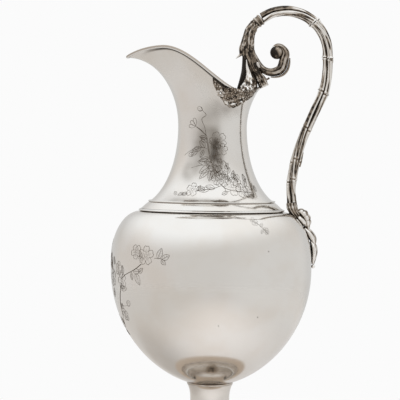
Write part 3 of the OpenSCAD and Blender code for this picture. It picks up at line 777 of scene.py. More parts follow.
def make_cast_finish(name, plain, rubbed, brown, oxide, gloss):
    """Chased casting: rubbed bright on its crests, dark oxide in its recesses, fine pitting."""
    recess_reach = 0.0016
    worn_scale = 330.0
    wave_scale = 420.0
    wave_height = 0.0004
    pit_scale = 1500.0
    pit_height = 0.00006
    oxide_gloss = 0.5
    tree, shader, coords = new_finish(name)
    # The darkness painted on the mesh joins the recesses here; on some pieces it is painted shade
    recess = deepest(tree, map_range(tree, add_hollow(tree, recess_reach, 12), 0.25, 0.85, 1.0, 0.0))
    patchy = map_range(tree, add_noise(tree, coords, worn_scale, 4.0), 0.35, 0.68, 0.7, 1.15)
    dark = add_node(tree, "ShaderNodeMath", {0: recess, 1: patchy}, operation="MULTIPLY", use_clamp=True)
    dark = dark.outputs[0]
    crest = map_range(tree, add_node(tree, "ShaderNodeNewGeometry").outputs["Pointiness"], 0.49, 0.54)
    bare = mix_colours(tree, crest, plain, rubbed)
    flank = mix_colours(tree, map_range(tree, dark, 0.0, 0.55), bare, brown)
    waves = add_bump(tree, 0.6, wave_height, add_noise(tree, coords, wave_scale, 1.0))
    fill_inputs(tree, shader, {
        "Base Color": mix_colours(tree, map_range(tree, dark, 0.45, 1.0), flank, oxide),
        "Metallic": map_range(tree, dark, 0.7, 1.0, 1.0, 0.1),
        "Specular IOR Level": 0.2,
        "Roughness": map_range(tree, dark, 0.0, 1.0, gloss, oxide_gloss),
        "Normal": add_bump(tree, 0.35, pit_height, add_noise(tree, coords, pit_scale, 2.0), Normal=waves),
    })


def make_line_finish(name, line, plain):
    """Cut line: dark where it is deep, rubbed pale where it is shallow."""
    worn_scale = 260.0
    most = 0.6
    tree, shader, coords = new_finish(name)
    rubbed = map_range(tree, add_noise(tree, coords, worn_scale), 0.52, 0.72, 0.0, most)
    fill_inputs(tree, shader, {
        "Base Color": mix_colours(tree, rubbed, line, plain),
        "Metallic": 0.6,
        "Roughness": map_range(tree, rubbed, 0.0, most, 0.6, 0.35),
    })


class CARAFE_OT_finishes(bpy.types.Operator):
    """Makes the silver finishes"""

    bl_idname = "carafe.finishes"
    bl_label = "Finishes"

    def execute(self, context):
        look = context.scene.carafe_finish
        make_sheet_finish(SATIN, look.satin, look.satin_warm, look.tan, look.stain, look.satin_gloss)
        make_sheet_finish(SMOKED, look.satin, look.satin_warm, look.smoke, look.soot, look.satin_gloss)
        make_sheet_finish(POLISHED, look.polished, look.satin, look.tan, look.stain, look.polished_gloss)
        make_cast_finish(CAST, look.cast, look.rubbed, look.brown, look.oxide, look.cast_gloss)
        make_line_finish(CUT_LINE, look.line, look.satin_warm)
        return {"FINISHED"}


# Pieces of the body


class CARAFE_OT_bowl(bpy.types.Operator):
    """Raises the bowl"""

    bl_idname = "carafe.bowl"
    bl_label = "Bowl"

    around = 160
    under_steps = 72
    over_steps = 44
    dent_depth = 0.035
    dent_size = 21.0
    # Stain round the stem's joint, which also serves as a painted reflection of the dark foot
    stain_and_painted_reflection_r = 25.0
    stain_and_painted_reflection_fade = 8.0
    stain_and_painted_reflection_z = 62.0
    stain_and_painted_reflection_depth = 0.35
    stain_cell = 5.0
    # Painted reflection of the dark foot: a dark spot low on the front
    painted_reflection_angle = 1.0
    painted_reflection_z = 71.5
    painted_reflection_half_w = 3.8
    painted_reflection_half_h = 4.2
    painted_reflection_depth = 0.8
    painted_reflection_mottle = 0.8
    painted_reflection_cell = 2.0

    def tarnish(self, p):
        """How dark the bowl is at a point: stain round the stem's joint, partly a painted reflection of the
        foot, and a painted reflection as a dark spot low on the front.
        """
        reach = math.hypot(p.x, p.y)
        stain = 0.0
        if p.z < self.stain_and_painted_reflection_z:
            stain = self.stain_and_painted_reflection_depth * ease((self.stain_and_painted_reflection_r - reach) / self.stain_and_painted_reflection_fade)
            stain *= 1 + noise.noise(p / self.stain_cell)
        # Painted reflection: the dark spot low on the front
        side = math.radians(math.degrees(math.atan2(p.x, -p.y)) - self.painted_reflection_angle) * reach
        off = (side / self.painted_reflection_half_w) ** 2 + ((p.z - self.painted_reflection_z) / self.painted_reflection_half_h) ** 2
        spot = self.painted_reflection_depth * math.exp(-off) * (1 + self.painted_reflection_mottle * noise.noise(p / self.painted_reflection_cell))
        return max(stain, spot)

    def execute(self, context):
        c = Carafe(context.scene)
        under = [mix(-90, 0, t) for t in steps(self.under_steps)]
        over = [mix(0, 90, t) for t in steps(self.over_steps)]
        ledge_r = c.mouth_r - c.ledge_w
        outline = [c.bowl_under(a) for a in under]
        outline += [c.bowl_over(a) for a in over]
        outline += [(ledge_r, c.mouth_z), (ledge_r, c.mouth_z - c.wall)]
        outline += [c.bowl_over(a, c.wall) for a in reversed(over)]
        outline += [c.bowl_under(a, c.wall) for a in reversed(under)]
        bm = start_mesh()
        spin(bm, outline, self.around)
        dent(bm, self.dent_depth, self.dent_size)
        paint(bm, self.tarnish)
        finish_piece(bm, "raised_bowl", SATIN, "bowl")
        return {"FINISHED"}


class CARAFE_OT_neck(bpy.types.Operator):
    """Draws up the neck with its pouring lip and the wire along its rim"""

    bl_idname = "carafe.neck"
    bl_label = "Neck and rim"

    around = 160
    rows = 60
    dent_depth = 0.03
    dent_size = 17.0
    wire_sides = 16
    wire_turns = 260
    # Angle from the front, height, half spread of both and depth of each dark patch: tarnish round the
    # engraving, except the patch at 18 degrees, which is painted shade under the mount, and the tall narrow
    # one at 52 degrees, which is a painted reflection of the handle
    stains_painted_shade_and_reflection = (
        (-13, 219, 24, 17.5, 0.41), (5.5, 217, 10.5, 14.5, 0.58), (-35, 203, 13, 8, 0.24),
        (2, 200, 20, 7, 0.12), (-11, 237, 24, 8, 0.15), (18, 248, 34, 7.5, 0.28),
        (-12, 184, 34, 2.5, 0.3), (-42, 187, 20, 5, 0.16), (52, 214, 14, 26, 0.08),
    )
    stain_edge = 1.25
    stain_mottle = 0.35
    stain_cell = 6.0
    # Painted shade: a dark line under the rim's wire, which fades out towards the lip
    rim_painted_shade = 1.3
    rim_painted_shade_x = -52.0
    rim_painted_shade_run = 18.0
    rim_painted_shade_depth = 0.95
    wire_brown = 0.6

    def tarnish(self, p):
        """How dark the neck is at a point: tarnish round the engraving, painted shade under the mount and a
        painted reflection of the handle.
        """
        angle = math.degrees(math.atan2(p.x, abs(p.y)))
        dark = 0.0
        for at, z, wide, high, depth in self.stains_painted_shade_and_reflection:
            off = ((angle - at) / wide) ** 2 + ((p.z - z) / high) ** 2
            dark += depth * math.exp(-(off**self.stain_edge))
        return dark * (1 + self.stain_mottle * noise.noise(p / self.stain_cell))

    def execute(self, context):
        c = Carafe(context.scene)
        loop = 2 * self.rows + 2

        def wall(turn, along):
            row = round(along * loop) % loop
            inside = row > self.rows
            level = (2 * self.rows + 1 - row) / self.rows if inside else row / self.rows
            place = c.neck_wall(360 * turn, level, c.wall if inside else 0.0)
            if inside:
                return place, 0.0
            # Painted shade under the rim's wire, added to the tarnish
            edge = 0.0
            if level > 0.5:
                below = c.waist_z + c.rim_rise(360 * turn) - place.z
                edge = clamp(2 * (1 - below / self.rim_painted_shade))
                edge *= ease((place.x - self.rim_painted_shade_x) / self.rim_painted_shade_run)
            return place, clamp(self.tarnish(place) + self.rim_painted_shade_depth * edge)

        def wire(turn, along):
            u = 360 * along
            up = c.neck_up(u)
            out = c.neck_out(u, 1)
            middle = c.neck_at(u, 1) - out * c.wall / 2 + up * (c.rim_wire_r + c.seam)
            place = middle + (out * cosd(360 * turn) + up * sind(360 * turn)) * c.rim_wire_r
            return place, self.wire_brown * clamp(4 * sind(360 * turn) - 2.4)

        bm = start_mesh()
        lay_grid(bm, self.around, loop, wall)
        dent(bm, self.dent_depth, self.dent_size)
        finish_piece(bm, "flared_neck", SMOKED, "neck")
        bm = start_mesh()
        lay_grid(bm, self.wire_sides, self.wire_turns, wire)
        finish_piece(bm, "rim_bead", POLISHED, "rim_wire")
        return {"FINISHED"}


class CARAFE_OT_mouldings(bpy.types.Operator):
    """Turns the mouldings between bowl and neck, the stem and the foot"""

    bl_idname = "carafe.mouldings"
    bl_label = "Mouldings and foot"

    around = 160
    fine = 20
    reed_fine = 24
    stem_fine = 60
    collar_fine = 10
    fine_share = 0.62
    reed_sink = 0.7
    band_inset = 2.2
    step_inset = 1.6
    shoulder_bulge = 0.15
    foot_bulge = 1.0
    # Brown tarnish low on the foot, and fainter on the stem and its collar; the stem's faint tint also
    # doubles towards its right side
    brown = 0.52
    brown_z = 36.0
    brown_fade = 20.0
    brown_mottle = 0.4
    brown_cell = 9.0
    stem_brown = 0.06
    collar_brown = 0.3
    collar_cell = 4.0

    def turn(self, name, node, finish, outline, tone=None):
        """Piece turned from an outline."""
        bm = start_mesh()
        spin(bm, outline, self.around)
        if tone:
            paint(bm, tone)
        finish_piece(bm, name, finish, node)

    def tarnish(self, p):
        """How brown the foot has gone at a point."""
        low = ease((self.brown_z - p.z) / self.brown_fade)
        return self.brown * low * (1 + self.brown_mottle * noise.noise(p / self.brown_cell))

    def reed(self, name, node, r, z, half):
        """Ring of wire round the axis."""
        circle = [(r + half * cosd(360 * t), z + half * sind(360 * t)) for t in steps(self.reed_fine)]
        self.turn(name, node, POLISHED, circle[:-1])

    def band(self, c, name, node, low, high, bulge):
        """Sloping band that bulges a little, with level faces below and above."""
        low = Vector(low)
        high = Vector(high)
        out = Vector((high.y - low.y, low.x - high.x)).normalized()
        outline = [mix(low, high, t) + out * bulge * sind(180 * t) for t in steps(self.fine)]
        outline += [high - Vector((c.band_t, 0)), low - Vector((c.band_t, 0))]
        self.turn(name, node, SATIN, outline, self.tarnish)

    def step(self, name, node, inner_r, r, z, h, out):
        """Rounded ring that stands on a level face."""
        outline = [(inner_r, z)]
        outline += [(r + out * sind(180 * t), z + h * t) for t in steps(self.fine)]
        self.turn(name, node, POLISHED, outline + [(inner_r, z + h)])

    def stem(self, c):
        """Trumpet-shaped stem of sheet."""
        heights = [mix(c.stem_spread_h, c.stem_z, t) for t in steps(self.stem_fine)]
        outline = [(c.stem_at(z), z) for z in heights]
        outline += [(c.stem_at(z) - c.wall, z) for z in reversed(heights)]

        def tone(p):
            return max(self.tarnish(p), self.stem_brown * (1 + clamp(p.x / c.stem_r)))

        self.turn("trumpet_stem", "stem", SATIN, outline, tone)

    def collar(self, c):
        """Cove between the stem and the bowl."""
        inside = c.stem_head_r - 2 * c.wall
        outside = c.stem_head_r + c.reed_r
        low_z = c.stem_z + c.seam
        top_z = c.under_z(outside) - c.seam
        cove = [(mix(c.stem_head_r, outside, t * t), mix(low_z, top_z, t)) for t in steps(self.collar_fine)]
        outline = [(inside, low_z), *cove, (inside, c.under_z(inside) - c.seam)]

        def tone(p):
            return self.collar_brown * (1 + noise.noise(p / self.collar_cell))

        self.turn("stem_bedding_ring", "stem_collar", POLISHED, outline, tone)

    def execute(self, context):
        c = Carafe(context.scene)
        fine_r = self.fine_share * c.reed_r
        rim_r = c.foot_r - c.step_out
        self.reed("neck_reed_wire", "neck_reed", c.neck_foot_r + fine_r, c.neck_z + fine_r, fine_r)
        self.band(
            c, "shoulder_moulding", "shoulder_band",
            (c.mouth_r - self.band_inset * c.step_out, c.mouth_z + c.step_h),
            (c.neck_foot_r + c.seam, c.neck_z), self.shoulder_bulge
        )
        self.step(
            "shoulder_ring", "shoulder_step", c.mouth_r - c.ledge_w, c.mouth_r - self.step_inset * c.step_out,
            c.mouth_z + c.seam, c.step_h - 2 * c.seam, c.step_out
        )
        self.stem(c)
        self.collar(c)
        self.reed(
            "foot_reed_wire", "foot_reed", c.stem_spread_r + c.reed_r + 2 * c.seam,
            c.stem_spread_h + c.reed_r * self.reed_sink, c.reed_r
        )
        self.band(
            c, "foot_moulding", "foot_band", (rim_r, c.foot_rim_h + c.seam),
            (c.stem_spread_r + c.seam, c.stem_spread_h - c.seam), self.foot_bulge
        )
        self.step("foot_ring", "foot_rim", rim_r - 2 * c.band_t, rim_r, 0, c.foot_rim_h, c.step_out)
        return {"FINISHED"}


# Cast mounts on the rim


def grain(place, cell):
    """Height from 0 to 1 of pebbled moss, with dark joints between the pebbles."""
    near = noise.voronoi(place / cell)[0]
    return clamp((near[1] - near[0]) / 0.45) ** 0.7


class CARAFE_OT_mounts(bpy.types.Operator):
    """Casts the mossy mounts on the rim with their leaves and blossoms"""

    bl_idname = "carafe.mounts"
    bl_label = "Rim mounts"

    columns = 150
    rows = 48
    cell = 1.35
    grain_h = 0.75
    grain_low = 0.6
    frill_h = 0.7
    frills = 9
    # Share of the depth that stands above the wire, and how far it stands out before and behind the wire
    over_wire = -0.26
    over_front = 0.9
    over_back = 1.2
    # Place along and down the mount, half length and turn of each leaf
    leaves = ((122, 0.86, 2.6, 12), (129, 0.7, 2.0, -20), (137, 0.5, 1.6, 35))
    leaf_up = 0.45
    leaf_half_w = 0.42
    leaf_rise = 0.55
    leaf_vein = 0.16
    # Place and parts of a blossom; lengths are shares of its radius, heights are in millimetres
    blossom_u = 115.5
    blossom_v = 0.52
    petals = 5
    petal_first_a = 18
    petal_tilt_a = -14
    petal_out = 0.58
    petal_up = 0.5
    petal_half_l = 0.44
    petal_half_w = 0.36
    petal_t = 0.42
    petal_groove = 0.35
    petal_dark = 0.3
    groove_dark = 0.5
    eye_r = 0.25
    eye_up = 0.9
    pearls = 6
    pearl_r = 0.08
    pearl_out = 0.3
    pearl_up = 0.85

    def mount(self, c, name, node, side):
        """One mount; side is -1 on the camera's side and 1 beyond."""
        half = self.rows // 2

        def place(across, along):
            u = mix(c.mount_from, c.mount_to, along)
            row = round(across * self.rows) % self.rows
            over = row <= half
            v = mix(self.over_wire, 1, row / half if over else (self.rows - row) / half)
            frill = self.frill_h * abs(sind(180 * self.frills * along)) if v > 0.5 else 0.0
            inward = min(along, 1 - along)
            h = c.seam
            dark = 0.0
            if over:
                pebble = grain(c.mount_place(u, v, 0.0), self.cell)
                edge = clamp(4 * inward) * clamp(5 * (1 - v) + 0.35)
                h += c.mount_height(u, max(v, 0.0)) + self.grain_h * (pebble - self.grain_low) * edge
                h += self.over_front * clamp(-6 * v) * clamp(5 * inward)
                dark = clamp(1.3 - 1.05 * pebble)
            elif v < 0:
                h += self.over_back * clamp(-6 * v)
            p = c.mount_place(u, v, h, frill)
            p.y *= side
            return p, dark

        bm = start_mesh()
        roll(bm, self.rows, self.columns, place)
        for leaf in self.leaves:
            self.leaf(bm, c, side, *leaf)
        finish_piece(bm, name, CAST, node, crease=CAST_CREASE)

    def frame_at(self, c, u, v, h, side):
        """Matrix that stands on the mount's face."""
        place = c.mount_place(u, v, h)
        out = (c.mount_place(u, v, h + 1) - place).normalized()
        along = (c.mount_place(u + 1, v, h) - place).normalized()
        turn = Matrix((along, out.cross(along).normalized(), out)).transposed().to_4x4()
        return Matrix.Diagonal((1, side, 1, 1)) @ Matrix.Translation(place) @ turn

    def leaf(self, bm, c, side, u, v, half_l, turn):
        """Small pointed leaf on the moss."""
        stand = self.frame_at(c, u, v, c.mount_height(u, v) + self.leaf_up, side)
        stand = stand @ Matrix.Rotation(math.radians(turn), 4, "Z")

        def place(across, along):
            x = 2 * along - 1
            y = 2 * across - 1
            half_w = self.leaf_half_w * (1 - abs(x) ** 1.7)
            rise = self.leaf_rise * (1 - y * y) * (1 - x * x) - self.leaf_vein * bump(y, 0, 0.14)
            return stand @ Vector((x * half_l, y * half_w * half_l, rise)), 0.0

        roll(bm, 10, 12, place)

    def blossom(self, bm, c, side):
        """Blossom of cupped petals round a beaded eye."""
        stand = self.frame_at(c, self.blossom_u, self.blossom_v, c.mount_t + 2 * c.seam, side)
        r = c.blossom_r
        dark = bm.verts.layers.float[TARNISH_AND_PAINTED_SHADE]
        shape = Matrix.Translation((r * self.petal_out, 0, self.petal_up))
        shape = shape @ Matrix.Rotation(math.radians(self.petal_tilt_a), 4, "Y")
        shape = shape @ Matrix.Diagonal((r * self.petal_half_l, r * self.petal_half_w, self.petal_t, 1))
        for k in range(self.petals):
            turn = Matrix.Rotation(math.radians(360 / self.petals * k + self.petal_first_a), 4, "Z")
            made = bmesh.ops.create_uvsphere(bm, u_segments=14, v_segments=9, radius=1)["verts"]
            for v in made:
                groove = bump(v.co.y, 0, 0.16) * clamp(v.co.z)
                v.co.z -= self.petal_groove * groove
                v[dark] = self.petal_dark + self.groove_dark * groove * clamp(0.6 - v.co.x)
            bmesh.ops.transform(bm, matrix=stand @ turn @ shape, verts=made)
        bead(bm, stand @ Vector((0, 0, self.eye_up)), r * self.eye_r)
        for k in range(self.pearls):
            place = polar(r * self.pearl_out, 360 / self.pearls * k)
            bead(bm, stand @ Vector((*place, self.pearl_up)), r * self.pearl_r, fine=8)

    def execute(self, context):
        c = Carafe(context.scene)
        self.mount(c, "moss_mount_left", "rim_mount_left", -1)
        self.mount(c, "moss_mount_right", "rim_mount_right", 1)
        bm = start_mesh()
        self.blossom(bm, c, -1)
        self.blossom(bm, c, 1)
        finish_piece(bm, "rim_blossoms", CAST, "mount_blossoms", crease=CAST_CREASE)
        return {"FINISHED"}


# Cast handle


def spot_on(turn, along, r, runs):
    """Place in the noise for a turn round a branch and a share along it."""
    return Vector((*polar(r, 360 * turn), runs * along))


def bark(turn, along, knots, furrows=11):
    """Height from -1 to 1 of long bark ridges that wander along a branch."""
    spot = spot_on(turn, along, 1.4, knots)
    wave = cosd(furrows * 360 * turn + 230 * noise.noise(spot))
    patch = clamp(0.8 + 0.9 * noise.noise(spot * 1.7 + Vector((7, 2, 4))))
    return mix(0.6, wave, patch)


def knotty(turn, along, knots):
    """Height from -1 to 1 of gnarled bark: thin crests that wind over a low ground."""
    spot = spot_on(turn, along, 1.5, knots)
    wander = noise.noise(spot * 1.5) + 0.4 * noise.noise(spot * 3.6 + Vector((3, 8, 5)))
    return 2 * clamp(1.05 - 4.2 * abs(wander)) - 1


def streak(turn, along, runs):
    """Darkness of the patina that lies in long streaks."""
    return clamp(0.1 + 1.7 * noise.noise(spot_on(turn, along, 1.3, runs) + Vector((5, 3, 1))))


class CARAFE_OT_root(bpy.types.Operator):
    """Casts the bark-covered root, its sheath, thorn and sawn-off branch"""

    bl_idname = "carafe.root"
    bl_label = "Root and branch"

    # Trunk: shares of the root's middle line, the fork, then shares of the stub with how far they sit back
    around = 80
    along = 190
    bark_h = 0.5
    trunk_shares = (1.0, 0.9, 0.78, 0.66, 0.56)
    fork_share = 0.47
    fork_out = 0.5
    stub_places = ((0.12, 1.6), (0.45, 0.8), (0.75, 0.0), (1.0, 0.0))
    stub_more = 2.0
    trunk_halves = (3.2, 3.4, 3.8, 4.2, 4.6, 4.6, 3.9, 3.3, 3.2, 3.4)
    sawn_share = 0.88
    hollow_h = 1.8
    hollow_share = 0.6
    # Knots on both sides of the stub
    knot_at = (2.2, 0.2)
    knot_y = 3.4
    knot_size = (1.2, 0.7, 2.3)
    knot_lean_a = -23
    knot_dark = 0.3
    # Places of the light foot above the rim's back, half thickness and half width
    flare_shape = (
        (-8.8, 18.6, 0.7, 5.0), (-8.3, 14.4, 1.4, 5.2), (-7.3, 9.5, 2.8, 6.0), (-6.4, 4.6, 4.8, 8.5),
        (-6.8, 0.4, 5.9, 13.0), (-7.8, -2.4, 6.0, 17.0), (-9.4, -5.0, 5.0, 17.0),
    )
    # Shares of the root and clearances of the torn strip, then the thorn that ends it
    strip_places = ((0.93, -0.9), (0.82, -0.8), (0.7, -0.3), (0.58, 0.6), (0.49, 0.9))
    strip_halves = (0.5, 1.2, 1.5, 1.6, 1.2)
    strip_wider = 2.0
    thorn_share = 0.51
    thorn_clear = 0.3
    thorn_shape = ((0.9, 0.2), (-1.5, -2.2), (-4.2, -4.2))
    thorn_half = 2.3
    thorn_tip = 0.3
    thorn_flat = 0.8
    # Twig near the stub's end
    twig_share = 0.84
    twig_side = 0.8
    twig_shape = ((-1.0, -0.4), (1.4, 0.4), (3.1, 1.4))
    twig_half = 0.85
    twig_tip = 0.55
    twig_bud = 0.15
    twig_dark = 0.95
    # Sheath: how it leans, sinks, fills and narrows
    sheath_columns = 64
    sheath_rows = 60
    lean_w = 3.0
    back_w = 0.9
    drop_h = 5.0
    fill_w = 2.8
    foot_share = 0.3
    face_share = 0.85
    foot_narrow = 0.35
    head_narrow = 0.8
    # Painted shade: the whole sheath is painted black
    sheath_painted_shade = 1.5

    def trunk(self, c):
        """Bark-covered trunk from the binding to its sawn-off, hollow end."""
        end = c.stub_start + c.stub_dir * (c.stub_len + self.stub_more)
        points = [curve_at(c.root_points, t) for t in self.trunk_shares]
        points.append(curve_at(c.root_points, self.fork_share) + Vector((self.fork_out, 0)))
        points += [mix(c.stub_start, end, t) - Vector((back, 0)) for t, back in self.stub_places]

        def place(turn, along):
            t = min(along / self.sawn_share, 1.0)
            inward = clamp((along - self.sawn_share) / (1 - self.sawn_share))
            rough = 0.6 * bark(turn, t, 6.0, 8) + 0.55 * knotty(turn, t, 4.0)
            rough *= clamp(14 * (1 - t))
            half = curve_at(self.trunk_halves, t) + self.bark_h * rough
            half *= mix(1, self.hollow_share, clamp(3 * inward))
            fork = 0.4 * ease((t - 0.36) / 0.12) * (1 - ease((t - 0.72) / 0.1))
            dark = clamp(0.7 - 0.6 * rough + fork) * clamp(9 * (1 - t)) + clamp(2.2 * inward - 0.6)
            d = heading_at(points, t)
            p = curve_at(points, t) - d * self.hollow_h * inward
            return in_space(p) + oval(d, half, half, -360 * turn), clamp(dark)

        bm = start_mesh()
        roll(bm, self.around, self.along, place)
        dark = bm.verts.layers.float[TARNISH_AND_PAINTED_SHADE]
        knot = c.stub_start + Vector(self.knot_at)
        turn = Matrix.Rotation(math.radians(self.knot_lean_a), 3, "Y")
        for side in (-1, 1):
            for v in bead(bm, in_space(knot, side * self.knot_y), 1.0, self.knot_size, turn):
                v[dark] = self.knot_dark
        finish_piece(bm, "bark_trunk", CAST, "handle_root", "branch_stub", crease=CAST_CREASE)

    def flare(self, c):
        """Light, hammered foot of the root that spreads onto the rim."""
        points, halves, widths = split_shape(Vector((c.back_reach, c.rim_top)), self.flare_shape)

        def size(turn, t):
            knock = noise.noise(spot_on(turn, t, 3, 9))
            scale = 1 + 0.1 * knock * t
            dark = clamp(0.38 - 1.9 * knock + 0.5 * clamp(6 * t - 5)) * clamp(3 * t - 0.6)
            rightward = 1.2 * ease((cosd(360 * turn) - 0.6) / 0.3)
            return curve_at(halves, t) * scale, curve_at(widths, t) * scale, max(dark, rightward)

        cast_rod("root_flare", "handle_root", 56, 60, points, size)

    def strip(self, c):
        """Bark strip on the root's lip side, which ends in the thorn."""
        points = [c.root_side(t, -1, out) for t, out in self.strip_places]
        base = c.root_side(self.thorn_share, -1, self.thorn_clear)
        thorn_points = [base + Vector(p) for p in self.thorn_shape]

        def strip_size(turn, t):
            rough = knotty(turn + 0.3, t, 4.0)
            half = curve_at(self.strip_halves, t) + 0.08 * rough
            end = 0.5 * ease((t - 0.78) / 0.12)
            dark = clamp(0.3 + 0.8 * streak(turn, t, 1.0) - 0.12 * rough + end)
            return half, half * self.strip_wider, dark

        def thorn_size(turn, t):
            half = mix(self.thorn_half, self.thorn_tip, t**0.8)
            return half * self.thorn_flat, half, clamp(0.75 - 0.7 * t)

        bm = start_mesh()
        rod(bm, 40, 60, points, strip_size)
        rod(bm, 16, 24, thorn_points, thorn_size)
        finish_piece(bm, "torn_strip", CAST, "root_thorn", crease=CAST_CREASE)

    def sheath(self, c):
        """Smooth leaf in front of the root, painted black all over as painted shade."""
        columns = self.sheath_columns
        half = columns // 2

        def place(across, along):
            row = round(across * columns) % columns
            over = row <= half
            w = 2 * (row if over else columns - row) / half - 1
            w *= mix(self.foot_share, 1, ease(along))
            thick = self.face_share * c.sheath_t * mix(1, 0.6, along)
            low = (1 - along) ** 3
            p = c.sheath_at(w, along, thick if over else 0.0)
            p += Vector((self.back_w * clamp(2 * along) - self.lean_w * low, 0, -self.drop_h * low))
            p.y *= mix(self.foot_narrow, self.head_narrow, along)
            if not over:
                p.x += self.fill_w * clamp(4 * along)
            return p, self.sheath_painted_shade

        bm = start_mesh()
        roll(bm, columns, self.sheath_rows, place)
        finish_piece(bm, "root_sheath", CAST, "handle_sheath")

    def twig(self, c):
        """Short twig on the sawn-off branch."""
        side = Vector((-c.stub_dir.y, c.stub_dir.x))
        base = c.stub_start + c.stub_dir * c.stub_len * self.twig_share
        base += side * (c.stub_r * self.twig_side + c.seam)
        points = [base + Vector(p) for p in self.twig_shape]

        def size(turn, t):
            half = mix(self.twig_half, self.twig_tip, t) + self.twig_bud * bump(t, 0.95, 0.1)
            return half, half, self.twig_dark

        cast_rod("branch_twig", "stub_twig", 14, 20, points, size, SHEET_CREASE)

    def execute(self, context):
        c = Carafe(context.scene)
        self.trunk(c)
        self.flare(c)
        self.strip(c)
        self.sheath(c)
        self.twig(c)
        return {"FINISHED"}


class CARAFE_OT_scroll(bpy.types.Operator):
    """Casts the ribbed scroll, its ball and the leaf under it"""

    bl_idname = "carafe.scroll"
    bl_label = "Scroll"

    around = 72
    along = 170
    ribs = 6
    rib_share = 0.22
    rib_turn_a = 70
    bark_h = 0.3
    arm_wider = 1.1
    tip_r = 1.0
    tip_stretch = (1, 1.4, 1)
    # Ball: its share of the size in the panel, its place and the joint round each of its sides
    ball_share = 1.12
    ball_move = (0.2, -0.4)
    joint_y = 2.5
    joint_w = 0.35
    joint_share = 0.05
    # Leaf: first and last span of the arm that it lies under, half thickness and half width, least and most
    leaf_from = 3.0
    leaf_to = 5.4
    leaf_t = (0.35, 0.85)
    leaf_w = (0.5, 2.7)
    vein_share = 0.45

    def arm(self, c):
        """Ribbed arm that leaves the root and curls round the ball."""

        def size(turn, t):
            half = curve_at(c.scroll_halves, t)
            rib = abs(cosd(180 * self.ribs * turn + self.rib_turn_a * t))
            fade = clamp(8 * t) * clamp(3.5 * (1 - t))
            rough = bark(turn, t, 9.0) * clamp(1 - 3.2 * t)
            half *= 1 - self.rib_share * fade * (1 - rib**0.7) + self.bark_h * rough / c.scroll_r
            dark = 0.42 + clamp(1.05 - 1.5 * rib) * fade + clamp(-rough) * 0.8 + 0.5 * streak(turn, t, 5.0)
            return half, half * self.arm_wider, clamp(dark)

        bm = start_mesh()
        rod(bm, self.around, self.along, c.scroll_points, size)
        bead(bm, in_space(c.scroll_points[-1]), self.tip_r, self.tip_stretch)
        finish_piece(bm, "scroll_bough", CAST, "scroll_arm", crease=CAST_CREASE)

    def ball(self, c):
        """Ball in the scroll's eye, darker on its left and underside with painted shade."""
        bm = start_mesh()
        dark = bm.verts.layers.float[TARNISH_AND_PAINTED_SHADE]
        for v in bead(bm, Vector((0, 0, 0)), self.ball_share * c.scroll_ball_r, fine=48):
            joint = bump(abs(v.co.y), self.joint_y, self.joint_w)
            v.co *= 1 - self.joint_share * joint
            # Painted shade, deepest on the ball's left and lower side
            shade = 0.6 * ease((1.4 - v.co.x - 0.4 * v.co.z) / 3)
            v[dark] = clamp(0.7 * joint + 0.5 + shade) + 0.4 * ease((-0.8 - v.co.x) / 2)
        bmesh.ops.translate(bm, vec=in_space(c.ball_at + Vector(self.ball_move)), verts=bm.verts)
        finish_piece(bm, "scroll_knob", CAST, "scroll_ball", crease=CAST_CREASE)

    def leaf(self, c):
        """Thin leaf along the underside of the arm."""
        spans = len(c.scroll_points) - 1

        def place(turn, t):
            at = mix(self.leaf_from, self.leaf_to, t) / spans
            d = heading_at(c.scroll_points, at)
            half_t = mix(*self.leaf_t, sind(180 * t))
            half_w = mix(*self.leaf_w, sind(180 * t**0.8))
            off = curve_at(c.scroll_halves, at) + half_t + c.seam
            p = curve_at(c.scroll_points, at) + Vector((d.y, -d.x)) * off
            angle = -360 * turn
            vein = bump(sind(angle), 0, 0.18) if cosd(angle) < 0 else 0.0
            p = in_space(p) + oval(d, half_t * (1 - self.vein_share * vein), half_w, angle)
            return p, 0.55 + 0.4 * vein

        bm = start_mesh()
        roll(bm, 36, 50, place)
        finish_piece(bm, "scroll_under_leaf", CAST, "scroll_leaf", crease=CAST_CREASE)

    def execute(self, context):
        c = Carafe(context.scene)
        self.arm(c)
        self.ball(c)
        self.leaf(c)
        return {"FINISHED"}


